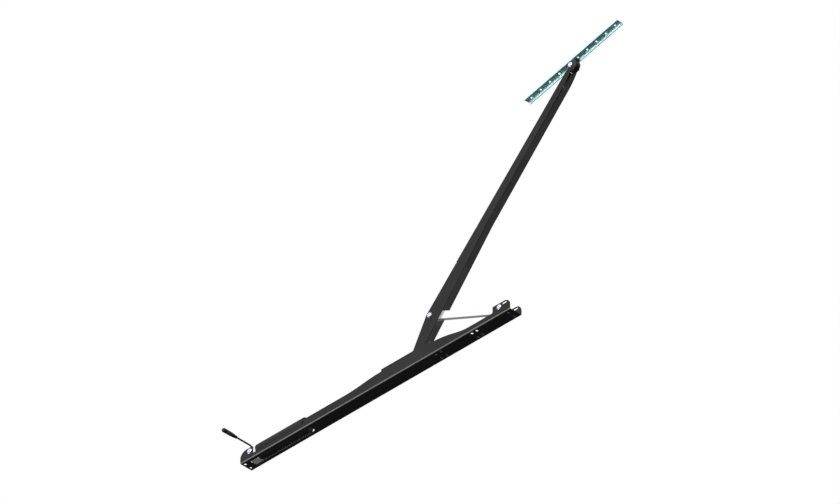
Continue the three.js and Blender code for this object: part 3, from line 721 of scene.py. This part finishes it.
def base_channel():
    edge = [(x, unrolled(BASE_HALF, z)) for x, z in flange_edge()]
    outline = [(x, -u) for x, u in edge] + [(x, u) for x, u in reversed(edge)]
    anchor, ear = in_frame(BASE, ANCHOR), in_frame(BASE, EAR)
    slot_height, slot_half = 41.5, 3.75
    holes = [hole(rectangle(*FLOOR_WINDOW, 6))]
    holes += [circle(x, y, FLOOR_HOLE, 32) for x in FLOOR_HOLES for y in FLOOR_HOLE_SIDES]
    for side in (-1, 1):
        for pivot in (anchor, ear):
            holes.append(circle(pivot.x, side * unrolled(BASE_HALF, pivot.z), HOLE, 36))
        middle = side * unrolled(BASE_HALF, slot_height)
        holes.append(hole(rectangle(*EAR_SLOT, middle - slot_half, middle + slot_half, 3.7)))
    pattern = plate([outline, *holes], -SHEET / 2, SHEET / 2, 0.35)
    return folded(pattern, BASE_HALF, True)


piece("base_channel", base_channel(), BASE)


# ---- fasteners
HEAD_HEIGHT = 3.6
WASHER = 13.4


def threads(radius, start, end, pitch=1.25, depth=0.55):
    """The profile of a threaded stretch, as ridges with their feet at start and end."""
    count = int((end - start) / pitch)
    points = []
    for i in range(count):
        foot = start + i * pitch
        points += [(radius - depth, foot), (radius, foot + pitch * 0.5)]
    return points + [(radius - depth, start + count * pitch)]


def domed_bolt(reach, head=10.6, socket=6.0, height=HEAD_HEIGHT, shank=BOLT, threaded=15):
    """A low-domed bolt along z: its head is below zero and its shank runs up to reach."""
    top, rim, socket_floor = head * 0.57, height * 0.28, 2.6 - height
    dome = [(top + (head - top) * x, -rim + (height - rim) * y) for x, y in arc(0, 0, 1, -90, 0, 15)]
    rings = [
        (CORE, socket_floor),
        lambda a: (hexagon(socket, a), socket_floor),
        lambda a: (hexagon(socket, a), 0.4 - height),
        (socket * 0.64, -height), *dome, (head, -0.3), (head - 0.3, 0), (shank + 0.3, 0), (shank, 0.4),
        (shank, reach - threaded - 0.6), *threads(shank, reach - threaded, reach - 1),
        (shank - 1.1, reach), (CORE, reach),
    ]
    return loft(rings)


def chamfered(across, corner_radius, height, direction):
    """A hexagonal ring whose corners, past a radius, slope away at 30 degrees."""
    slope = direction * math.tan(math.radians(30))

    def ring_at(a):
        r = hexagon(across, a)
        return r, height + max(0, r - corner_radius) * slope

    return ring_at


def lock_nut():
    """A nut with a nylon collar, standing on z = 0."""
    across, height = 17.0, 8.0
    corner_radius = across / 2 * 1.02
    body, collar, bore = height - 2.6, BOLT + 3.1, HOLE - 0.05
    rings = [
        (BOLT + 0.9, 0), (corner_radius - 0.3, 0),
        chamfered(across, corner_radius, 0.2, 1), chamfered(across, corner_radius, body, -1),
        (corner_radius - 0.4, body + 0.1), (collar, body + 0.3), (collar, height - 1.0),
        (collar - 0.4, height - 0.3), (collar - 1.1, height), (HOLE + 0.5, height),
        (bore, height - 0.5), (bore, 0.8),
    ]
    return loft(rings, True)


def bolt_set(name, place):
    """The bolt, washers and nut of one pivot, on the seats that the CAD gives them."""
    low, high = span_of(name + "_bolt", 1)
    seat = low + HEAD_HEIGHT
    piece(name + "_bolt", domed_bolt(high - seat).moved(at(0, seat, 0), TO_Y), place)
    for washer in (name + "_washer_near", name + "_washer_far"):
        piece(washer, ring(HOLE, WASHER, *span_of(washer, 1)).moved(TO_Y), place)
    nut_seat, _ = span_of(name + "_nut", 1)
    piece(name + "_nut", lock_nut().moved(at(0, nut_seat, 0), TO_Y), place)


bolt_set("anchor", AT_ANCHOR)
bolt_set("ear", AT_EAR)
bolt_set("knee", ARM)
bolt_set("tip", ARM_TIP)
for spacer, place, radius, edge in (("ear_sleeve", AT_EAR, 9, 0.4), ("knee_disc", ARM, 13, 0.3)):
    for node in (spacer + "_far", spacer + "_near"):
        piece(node, ring(HOLE, radius, *span_of(node, 1), edge).moved(TO_Y), place)


# ---- gas spring
TUBE_RADIUS = half_extent("cylinder_tube")
TUBE_BORE = TUBE_RADIUS - 2.5
SPIGOT = TUBE_RADIUS - 2.8  # the part of each cap that goes into the tube
CAP_RADIUS = 30.6
PLUNGER_BORE = 3.3
PIVOT_BORE = 3.8  # for the lever's upright leg


def cylinder_tube():
    """A drawn tube, rolled into a shallow groove near both ends to hold its caps."""
    start, end = along(SPRING, "cylinder_tube")
    outer, grooved = TUBE_RADIUS, TUBE_RADIUS - 0.9
    profile = [(TUBE_BORE, start), (outer, start, 0.6)]
    for middle in (start + 7, end - 7):
        profile += [
            (outer, middle - 3, 2.0), (grooved, middle - 0.8, 1.2),
            (grooved, middle + 0.8, 1.2), (outer, middle + 3, 2.0),
        ]
    profile += [(outer, end, 0.6), (TUBE_BORE, end)]
    return turned(profile, 0.4, True, 96).moved(TO_X)


def rear_cap():
    """A bare turned disc behind the tube, with a groove round its rim."""
    start, end = along(SPRING, "cylinder_rear_cap")
    rim = along(SPRING, "cylinder_tube")[0] - GAP
    face, groove = along(SPRING, "end_fitting")[1] + 0.7, CAP_RADIUS - 0.7
    profile = [
        (CORE, start), (7, start, 1), (7, face, 1), (CAP_RADIUS, face, 1.6),
        (CAP_RADIUS, face + 4.6, 0.2), (groove, face + 5, 0.2), (groove, face + 5.8, 0.2),
        (CAP_RADIUS, face + 6.2, 0.2), (CAP_RADIUS, rim, 0.6),
        (SPIGOT, rim, 0.3), (SPIGOT, end, 1), (CORE, end),
    ]
    body = turned(profile, 0.4, False, 96).moved(TO_X)
    plunger_at = in_frame(SPRING, PLUNGER)
    bore = pin(PLUNGER_BORE, -40, 40, count=32).moved(TO_X)
    return cut(body, bore.moved(at(face, plunger_at.y, plunger_at.z)))


def rod_gland():
    """The tube's front cap, with a wiper seat and four pin holes for a spanner."""
    start, end = along(SPRING, "rod_gland")
    rim = along(SPRING, "cylinder_tube")[1] + GAP
    bore, seat, pin_circle = 10.3, 15.3, 24.5
    profile = [
        (bore, start), (SPIGOT, start, 1), (SPIGOT, rim, 0.3), (TUBE_RADIUS, rim, 0.5),
        (TUBE_RADIUS, end, 2.2), (19, end, 0.8), (17.5, end - 1.5, 0.5), (seat, end - 1.5, 0.3),
        (seat, end - 4.3), (bore, end - 4.3),
    ]
    body = turned(profile, 0.3, True, 96).moved(TO_X)
    for turn in range(4):
        quarter = Matrix.Rotation(math.pi / 2 * turn, 4, "X")
        pinhole = pin(2, -3, 3, count=24).moved(TO_X)
        body = cut(body, pinhole.moved(quarter, at(end, pin_circle, 0)))
    return body


def rod_wiper():
    start, end = along(SPRING, "rod_wiper")
    profile = [
        (10.2, start), (15, start), (15, end - 1.2, 0.6), (11.4, end - 0.2, 0.5),
        (10.4, end, 0.3), (10.1, end - 1.6),
    ]
    return turned(profile, 0.3, True).moved(TO_X)


piece("cylinder_tube", cylinder_tube(), SPRING)
piece("cylinder_rear_cap", rear_cap(), SPRING, "cast_aluminium")
piece("rod_gland", rod_gland(), SPRING)
piece("rod_wiper", rod_wiper(), SPRING)


# ---- end fitting
def bored(axis_turn, radius, x, y, z, reach=60):
    return pin(radius, -reach, reach, count=40).moved(at(x, y, z), axis_turn)


def end_fitting():
    """A cast foot, with an eye for the anchor bolt, a boss for the cap and a stop by the lever."""
    anchor = in_frame(BASE, ANCHOR)
    plunger_at = in_frame(BASE, PLUNGER)
    axis = in_frame(BASE, centre_of("cylinder_tube"))
    low, high = (in_frame(BASE, p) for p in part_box("end_fitting"))
    foot_top, stop_top, eye_half = 16, 25, 7
    neck = rectangle(anchor.x - 11, anchor.x + 11, -eye_half, eye_half, 2)
    body = join(
        plate([rectangle(low.x, high.x, low.y, high.y, 3)], low.z, foot_top, 0.9),
        plate([neck], foot_top - 2, anchor.z, 0.3),
        pin(12, -eye_half, eye_half, 1, 1).moved(at(anchor.x, 0, anchor.z), TO_Y),
        pin(11, anchor.x + 4, high.x, 0.4, 1).moved(at(0, 0, axis.z), TO_X),
        plate([rectangle(56, 63, low.y + 0.5, -8.5, 1.5)], foot_top - 2, stop_top, 0.5),
    )
    return cut(
        body,
        bored(TO_Y, HOLE, anchor.x, 0, anchor.z),
        pin(7.3, 57, 90, count=40).moved(at(0, 0, axis.z), TO_X),
        pin(PLUNGER_BORE, 53, 78, count=32).moved(at(0, plunger_at.y, plunger_at.z), TO_X),
        pin(PIVOT_BORE, 0, 20, count=32).moved(at(41.5, plunger_at.y, 0)),
    )


piece("end_fitting", end_fitting(), BASE, "cast_aluminium")


# ---- release lever
rod_low, rod_high = (in_frame(BASE, p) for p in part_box("lever_rod"))
LEVER_X = (rod_low.x + rod_high.x) / 2
LEVER_Y = in_frame(BASE, PLUNGER).y
LEVER_RADIUS = (rod_high.x - rod_low.x) / 2
LEVER_Z = rod_high.z - LEVER_RADIUS
LEVER = BASE @ at(LEVER_X, LEVER_Y, 0)
LEVER_BEND = 9
GRIP_BORE = 3.75


def lever_rod():
    end = rod_low.y - LEVER_Y
    leg_top = LEVER_Z - LEVER_BEND
    turn = [(0, y, z) for y, z in arc(-LEVER_BEND, leg_top, LEVER_BEND, 0, 90, 9)]
    leg = [(0, 0, rod_low.z), (0, 0, rod_low.z + 0.8)]
    rod = sweep([*leg, *turn, (0, end + 0.8, LEVER_Z), (0, end, LEVER_Z)], LEVER_RADIUS)
    rod.rims = {i for i, face in enumerate(rod.faces) if all(rod.verts[k].z < leg_top for k in face)}
    return rod


def lever_grip():
    """A rubber grip with a tapered neck, moulded rings and a round end, drawn outwards along z."""
    start, end = (-y - abs(LEVER_Y) for y in reversed(span_of("lever_grip", 1)))
    length = end - start
    profile = [(GRIP_BORE, 0), (5.2, 0, 0.6), (5.6, 3, 1), (6.8, 14, 6), (7.7, 26, 8)]
    for i in range(6):
        foot = 30 + i * 4.6
        profile += [(8.2, foot, 0.6), (7.4, foot + 0.9, 0.5)]
        profile += [(7.4, foot + 1.6, 0.5), (8.3, foot + 2.5, 0.6)]
    profile += [(8.5, length - 10, 3), (8.3, length - 4, 3), (6.5, length - 0.8, 2.5), (3, length, 2)]
    grip = rounded(profile, 0.4, False)
    closed = grip + [(CORE, length), (CORE, length - 11.5), (GRIP_BORE, length - 11.5)]
    return loft(closed, True, 56).moved(at(0, -start, LEVER_Z), TO_NEAR)


def lever_cam():
    outline = arc(0, -3.6, 8.5, 0, 354, 6)
    return plate([outline, circle(0, 0, PIVOT_BORE, 32)], *span_of("lever_cam", 2), 0.5)


def plunger():
    start, end = along(SPRING, "release_plunger")
    centre = in_frame(SPRING, PLUNGER)
    return pin(3, start, end, 1.4, 0.6, 32).moved(at(0, centre.y, centre.z), TO_X)


piece("lever_rod", lever_rod(), LEVER, "dipped_rod")
piece("lever_grip", lever_grip(), LEVER)
piece("lever_cam", lever_cam(), LEVER)
piece("release_plunger", plunger(), SPRING)


# ---- carriage
AXLE = 7.0
AXLE_HALF = 28.2
EYE_HALF = 11.5
ROD = 10
THREAD = 6.3
PISTON = 28.5


def track_roller():
    """A nylon roller with a raised hub, a crowned rim and six lightening holes, outwards along z."""
    near, far = (abs(v) for v in reversed(span_of("track_roller_near", 1)))
    radius = half_extent("track_roller_far", 2)
    dish = far - 2.2
    profile = [
        (AXLE + GAP, near), (radius, near, 1.8), (radius, far, 1.8), (radius - 5, far, 0.8),
        (radius - 7, dish, 1.2), (AXLE + 7, dish, 1.2), (AXLE + 5.5, far, 0.8), (AXLE + GAP, far),
    ]
    wheel = turned(profile, 0.5, True, 96)
    for i in range(6):
        drill = pin(3.2, near - 2, far + 2, count=24)
        wheel = cut(wheel, drill.moved(Matrix.Rotation(math.pi / 3 * i, 4, "Z"), at(17.5, 0, 0)))
    return wheel


def rod_eye():
    """A barrel round the axle, with a socket for the rod's thread."""
    barrel = pin(17, -EYE_HALF, EYE_HALF, 2, 2, 72).moved(TO_Y)
    shank = [(CORE, -46), (12.5, -46, 1.5), (12.5, -14), (15.5, -8), (CORE, -8)]
    body = join(barrel, turned(shank).moved(TO_X))
    socket = pin(6.6, -50, -24, count=40).moved(TO_X)
    return cut(body, bored(TO_Y, AXLE + 1.8, 0, 0, 0), socket)


def rod_lock_nut():
    low, high = along(AT_CARRIAGE, "rod_lock_nut")
    across, corner_radius, face, mouth, bore = 22, 11.2, 10.8, 7.4, 6.6
    rings = [
        (mouth, low), (face, low),
        chamfered(across, corner_radius, low + 0.2, 1), chamfered(across, corner_radius, high - 0.2, -1),
        (face, high), (mouth, high), (bore, high - 0.8), (bore, low + 0.8),
    ]
    return loft(rings, True).moved(TO_X)


def piston_rod():
    start, end = along(AT_CARRIAGE, "piston_rod")
    shoulder = along(AT_CARRIAGE, "rod_lock_nut")[0] - GAP
    piston_face = along(AT_CARRIAGE, "piston")[1] + GAP
    profile = [
        (CORE, start), (6, start, 1), (6, piston_face), (ROD, piston_face, 1),
        (ROD, shoulder - 2.5, 1), (7.4, shoulder, 0.5), (THREAD, shoulder),
    ]
    profile += [(r, h, 0) for r, h in threads(THREAD, shoulder + 0.5, end - 1.5, 1.5, 0.6)]
    profile += [(5.2, end, 0.4), (CORE, end)]
    return turned(profile, 0.3, False, 56).moved(TO_X)


def piston():
    low, high = along(AT_CARRIAGE, "piston")
    middle, groove = (low + high) / 2, PISTON - 3
    profile = [
        (THREAD, low), (PISTON, low, 0.8), (PISTON, middle - 2.5), (groove, middle - 2.5),
        (groove, middle + 2.5), (PISTON, middle + 2.5), (PISTON, high, 0.8), (THREAD, high),
    ]
    return turned(profile, 0.3, True).moved(TO_X)


def piston_seal():
    return ring(25.8, 28.7, *along(AT_CARRIAGE, "piston_seal"), 1.2).moved(TO_X)


piece("carriage_axle", pin(AXLE, -AXLE_HALF, AXLE_HALF, 1, 1).moved(TO_Y), AT_CARRIAGE)
piece("track_roller_far", track_roller().moved(TO_Y), AT_CARRIAGE)
piece("track_roller_near", track_roller().moved(TO_NEAR), AT_CARRIAGE)
piece("rod_eye", rod_eye(), AT_CARRIAGE, "cast_aluminium")
piece("rod_eye_bush", ring(AXLE + GAP, 8.5, -EYE_HALF, EYE_HALF, 0.3).moved(TO_Y), AT_CARRIAGE)
piece("rod_lock_nut", rod_lock_nut(), AT_CARRIAGE)
piece("piston_rod", piston_rod(), AT_CARRIAGE)
piece("piston", piston(), AT_CARRIAGE)
piece("piston_seal", piston_seal(), AT_CARRIAGE)


# ---- arm
ARM_HALF = half_extent("arm_channel")
KNEE_MARGIN = 20.3
WEB_FROM = 220
WEB_TO = ARM_LENGTH - 25
WEB_HOLE_AT, WEB_HOLE = 978, 12.4
PLUG, PLUG_HEAD, PLUG_HOLE = 4, 5.5, 4.3
END_CUT = 32.06  # the arm's end is cut parallel to the rail
BACK_HEIGHT = 22
BACK_SLOPE = -0.0154
BACK_ANGLE = math.atan(BACK_SLOPE)
FOOT = in_frame(ARM, CARRIAGE)
PLUG_AT = in_frame(ARM, centre_of("flange_plug"))

# The arm is folded in a frame that starts where its web starts and runs along the web's back.
BACK = ARM @ at(WEB_FROM, 0, BACK_HEIGHT) @ Matrix.Rotation(-BACK_ANGLE, 4, "Y")
TO_BACK = Matrix.Rotation(BACK_ANGLE, 4, "Y") @ at(-WEB_FROM, 0, -BACK_HEIGHT)


def on_pattern(s, v):
    """A point of the arm's side, in the flat pattern."""
    p = TO_BACK @ Vector((s, 0, v))
    return p.x, unrolled(ARM_HALF, -p.z)


def back_edge(s):
    return BACK_HEIGHT + BACK_SLOPE * (s - WEB_FROM)


def arm_edge():
    """The free edge of one side, from the start of the web round the foot and the tip to its end."""
    notch, relief, neck = 3.2, 4.6, 17.6
    flare = math.degrees(math.atan(0.0688))
    leg = math.degrees(math.atan2(-FOOT.z, -FOOT.x))
    foot = arc(FOOT.x, FOOT.z, KNEE_MARGIN, leg + 90, 270 + flare, 6)
    lead = [
        (WEB_FROM, back_edge(WEB_FROM) - relief, 0),
        (WEB_FROM - notch, neck - relief + 1.6, 0.8),
        (WEB_FROM - notch, neck, 1.2),
        (-4, KNEE_MARGIN, 9),
        foot[0],
    ]
    points = rounded(lead, 1, False) + foot
    points += rounded([points[-1], (404, -27.6, 60), (700, -26.2)], 1, False)[1:-1]
    tip_start, pull = (ARM_LENGTH - 77, -25.7), (ARM_LENGTH - 28, -23)
    tip_end = arc(ARM_LENGTH, 0, 10.5, -60, 90 - END_CUT, 6)
    points += [tip_start, *curve(tip_start, pull, tip_end[0], count=12)[:-1], *tip_end]
    web_end, web_top = WEB_TO + 1.2, back_edge(WEB_TO)
    tail = [
        tip_end[-1],
        (ARM_LENGTH - 9, 16.5, 3),
        (ARM_LENGTH - 24, 15.9, 6),
        (web_end, web_top, 0.5),
        (web_end, web_top - 4, 0.5),
        (WEB_TO, web_top - 4, 0),
    ]
    points += rounded(tail, 1, False)[1:]
    return [on_pattern(s, v) for s, v in points]


def arm_channel():
    edge = arm_edge()
    outline = [(s, u) for s, u in reversed(edge)] + [(s, -u) for s, u in edge]
    holes = []
    for side in (-1, 1):
        for s, v, radius in ((0, 0, HOLE), (ARM_LENGTH, 0, HOLE), (FOOT.x, FOOT.z, AXLE + GAP)):
            x, u = on_pattern(s, v)
            holes.append(circle(x, side * u, radius, 40))
    holes.append(circle(*on_pattern(PLUG_AT.x, PLUG_AT.z), PLUG_HOLE, 32))
    holes.append(circle(on_pattern(WEB_HOLE_AT, 0)[0], 0, WEB_HOLE, 64))
    pattern = plate([outline, *holes], -SHEET / 2, SHEET / 2, 0.35)
    web_end = on_pattern(WEB_TO, 0)[0]
    return folded(pattern, ARM_HALF, False, (-0.3, web_end + 0.3))


def flange_plug():
    low, high = span_of("flange_plug", 1)
    seat = ARM_HALF - SHEET - GAP
    profile = [
        (CORE, low), (PLUG_HEAD, low, 0.4), (PLUG_HEAD, seat, 0.3), (PLUG, seat), (PLUG, high, 0.5),
        (CORE, high),
    ]
    return turned(profile, 0.2, False, 40).moved(at(PLUG_AT.x, 0, PLUG_AT.z), TO_Y)


piece("arm_channel", arm_channel(), BACK)
piece("flange_plug", flange_plug(), ARM)


# ---- link
LINK_HALF = half_extent("link_bar")


def link_bar():
    """A tapering bar with a slotted head at the knee and an eye at the ear."""
    head = arc(0, 0, 23.5, 62, 298, 6)
    eye = arc(LINK_LENGTH, 0, 15.4, -90, 125, 6)
    top, top_end, bottom = (60, 18.4), (352, 0.4), (74, -14.1)
    outline = [top, *curve(top, (30, 20.2), head[0], count=10), *head[1:]]
    outline += [*curve(head[-1], (34, -13), bottom, count=10), *eye]
    outline += curve(eye[-1], (392, -2), top_end, count=10)
    cos, sin = math.cos(math.radians(45)), math.sin(math.radians(45))
    slot = [(x * cos - y * sin, x * sin + y * cos) for x, y in rectangle(-18, 18, -8.2, 8.2, 8.1)]
    loops = [outline, hole(slot), circle(LINK_LENGTH, 0, BUSH + GAP)]
    return plate(loops, -LINK_HALF, LINK_HALF, 0.35).moved(FACE_UP)


link_bush = ring(HOLE, BUSH, -LINK_HALF, LINK_HALF, 0.3)
piece("link_bar", link_bar(), LINK)
piece("link_bush", link_bush.moved(at(LINK_LENGTH, 0, 0), TO_Y), LINK)


# ---- door rail
RAIL_FROM, RAIL_TO = -246, 254
RAIL_LOW, RAIL_HIGH, RAIL_HALF, RAIL_SHEET = 17.9, 29.5, 17.5, 3.4
RAIL_WEB = (23.2, 25.7)
RAIL_HOLES = [-221 + 50 * i for i in range(10)]
RAIL_HOLE = 4
SCREW_HOLE = 3.3
BRACKET_HALF, BRACKET_FOOT, BRACKET_SKIRT, BRACKET_RADIUS = 12, 27.5, 15.5, 24.2


def rail_section():
    inner = RAIL_HALF - RAIL_SHEET
    low, high = RAIL_WEB
    right = [
        (inner, low, 0.3), (inner, RAIL_LOW, 0.2), (RAIL_HALF, RAIL_LOW, 0.25),
        (RAIL_HALF, RAIL_HIGH, 0.6), (inner, RAIL_HIGH, 0.5), (inner, high, 1),
    ]
    left = [(-x, y, r) for x, y, r in reversed(right)]
    return rounded(left[-2:] + right + left[:-2], 0.5)


def rail_drill(x, radius):
    """A drill with a small chamfer at both faces of the web."""
    low, high = RAIL_WEB
    flare = 0.35
    mouth = radius + flare + 1
    profile = [
        (CORE, low - 3), (mouth, low - 1), (radius, low + flare), (radius, high - flare),
        (mouth, high + 1), (CORE, high + 3),
    ]
    return turned(profile, 0, False, 40).moved(at(x, 0, 0))


def door_rail():
    along_x = Matrix(((0, 0, 1, 0), (1, 0, 0, 0), (0, 1, 0, 0), (0, 0, 0, 1)))
    body = plate([rail_section()], RAIL_FROM, RAIL_TO).moved(along_x)
    screw = in_frame(RAIL, SCREWS[1])
    return cut(body, *(rail_drill(x, RAIL_HOLE) for x in RAIL_HOLES), rail_drill(screw.x, SCREW_HOLE))


def rail_bracket():
    """A cast block with a round nose, bored for the tip bolt's bush and the two screws."""
    top = RAIL_WEB[0] - GAP
    nose = arc(0, 0, BRACKET_RADIUS, 160, 380, 6)
    left = corner((-BRACKET_FOOT, top), (-BRACKET_FOOT, BRACKET_SKIRT), nose[0], 1.5)
    right = corner(nose[-1], (BRACKET_FOOT, BRACKET_SKIRT), (BRACKET_FOOT, top), 1.5)
    outline = [(-BRACKET_FOOT, top), *left, *nose, *right, (BRACKET_FOOT, top)]
    bush_seat = circle(0, 0, BUSH + GAP)
    body = plate([outline, bush_seat], -BRACKET_HALF, BRACKET_HALF, 1.0).moved(FACE_UP)
    sockets = [in_frame(RAIL, s) for s in SCREWS]
    return cut(body, *(bored(UNMOVED, 3, s.x, 0, top, 9) for s in sockets))


def bracket_screw(centre):
    seat = RAIL_WEB[1] + GAP
    screw = domed_bolt(10.0, head=5.5, socket=4.0, height=2.9, shank=2.7, threaded=7)
    return screw.moved(at(centre.x, 0, seat), Matrix.Rotation(math.pi, 4, "X"))


bracket_bush = ring(HOLE, BUSH, -BRACKET_HALF, BRACKET_HALF, 0.3)
piece("door_rail", door_rail(), RAIL)
piece("rail_bracket", rail_bracket(), RAIL)
piece("bracket_bush", bracket_bush.moved(TO_Y), RAIL)
for index, screw_centre in enumerate(SCREWS):
    piece(f"bracket_screw_{index + 1}", bracket_screw(in_frame(RAIL, screw_centre)), RAIL)


# ---- camera, light and floor
# The view is isometric from below: along one diagonal of a cube, with no perspective.
AIM = Vector((channel_low.x + 0.9093, 0, channel_low.z + 0.5214))
VIEW_WIDTH = 3.106
CAMERA_DISTANCE = 4

# The dome's light by height, from straight down to straight up.
DOME = [(0.0, 0.01), (0.40, 0.03), (0.56, 0.30), (0.72, 0.95), (0.86, 0.80), (1.0, 0.30)]


def camera():
    data = bpy.data.cameras.new("camera")
    data.type = "ORTHO"
    data.ortho_scale = VIEW_WIDTH
    made = linked("camera", data)
    back = Vector((1, -1, -1)).normalized()
    made.location = AIM + back * CAMERA_DISTANCE
    made.rotation_mode = "QUATERNION"
    made.rotation_quaternion = (-back).to_track_quat("-Z", "Y")
    bpy.context.scene.camera = made


def sun(name, direction, strength, softness):
    """Soft light that comes from a direction and casts no shadow."""
    data = bpy.data.lights.new(name, "SUN")
    data.energy = strength
    data.angle = math.radians(softness)
    data.use_shadow = False
    made = linked(name, data)
    made.rotation_mode = "QUATERNION"
    made.rotation_quaternion = Vector(direction).to_track_quat("Z", "Y")


def world():
    """White where the camera looks past the object, and a soft dome, dark underneath, as its light."""
    made = bpy.data.worlds.new("studio")
    made.use_nodes = True
    tree = made.node_tree
    tree.nodes.clear()
    direction = add_node(tree, "TexCoord").outputs["Generated"]
    height = add_node(tree, "SeparateXYZ", {0: direction}).outputs["Z"]
    share = add_node(tree, "MapRange", {"Value": height, "From Min": -1}).outputs[0]
    ramp = add_node(tree, "ValToRGB", {0: share})
    stops = ramp.color_ramp.elements
    stops.remove(stops[1])
    for i, (position, value) in enumerate(DOME):
        stop = stops.new(position) if i else stops[0]
        stop.position = position
        stop.color = (value, value, value * 1.01, 1)
    dome = add_node(tree, "Background", {"Color": ramp.outputs[0]}).outputs[0]
    white = add_node(tree, "Background", {"Color": (1, 1, 1, 1)}).outputs[0]
    camera_ray = add_node(tree, "LightPath").outputs["Is Camera Ray"]
    choice = add_node(tree, "MixShader", {0: camera_ray, 1: dome, 2: white})
    add_node(tree, "OutputWorld", {"Surface": choice.outputs[0]})
    bpy.context.scene.world = made


def floor():
    """A pale floor under the channel, which is see-through from below and gives the object no shade."""
    size = 40
    mesh = bpy.data.meshes.new("floor")
    z = channel_low.z - MM
    corners = [(-size, -size, z), (size, -size, z), (size, size, z), (-size, size, z)]
    mesh.from_pydata(corners, [], [(0, 1, 2, 3)])
    f = Finish("floor")
    grain = f.noise(3, 4, 0.6)
    tone = f.mix(f.ramp(grain, 0.3, 0.7), (0.80, 0.80, 0.79, 1), (0.84, 0.84, 0.83, 1))
    bsdf = f.node("BsdfPrincipled", {"Base Color": tone, "Roughness": 0.8})
    clear = f.node("BsdfTransparent")
    side = f.node("NewGeometry").outputs["Backfacing"]
    both = f.node("MixShader", {0: side, 1: bsdf.outputs[0], 2: clear.outputs[0]})
    f.node("OutputMaterial", {"Surface": both.outputs[0]})
    mesh.materials.append(f.material)
    made = linked("floor", mesh)
    made.visible_shadow = made.visible_diffuse = made.visible_glossy = False


bpy.context.scene.view_settings.view_transform = "Standard"
camera()
world()
sun("key", (0.25, -0.90, 0.36), 4.0, 22)
sun("from_below", (-1, -1, -1), 1.6, 15)
sun("from_behind", (-0.3, 0.9, 0.4), 1.6, 30)
floor()
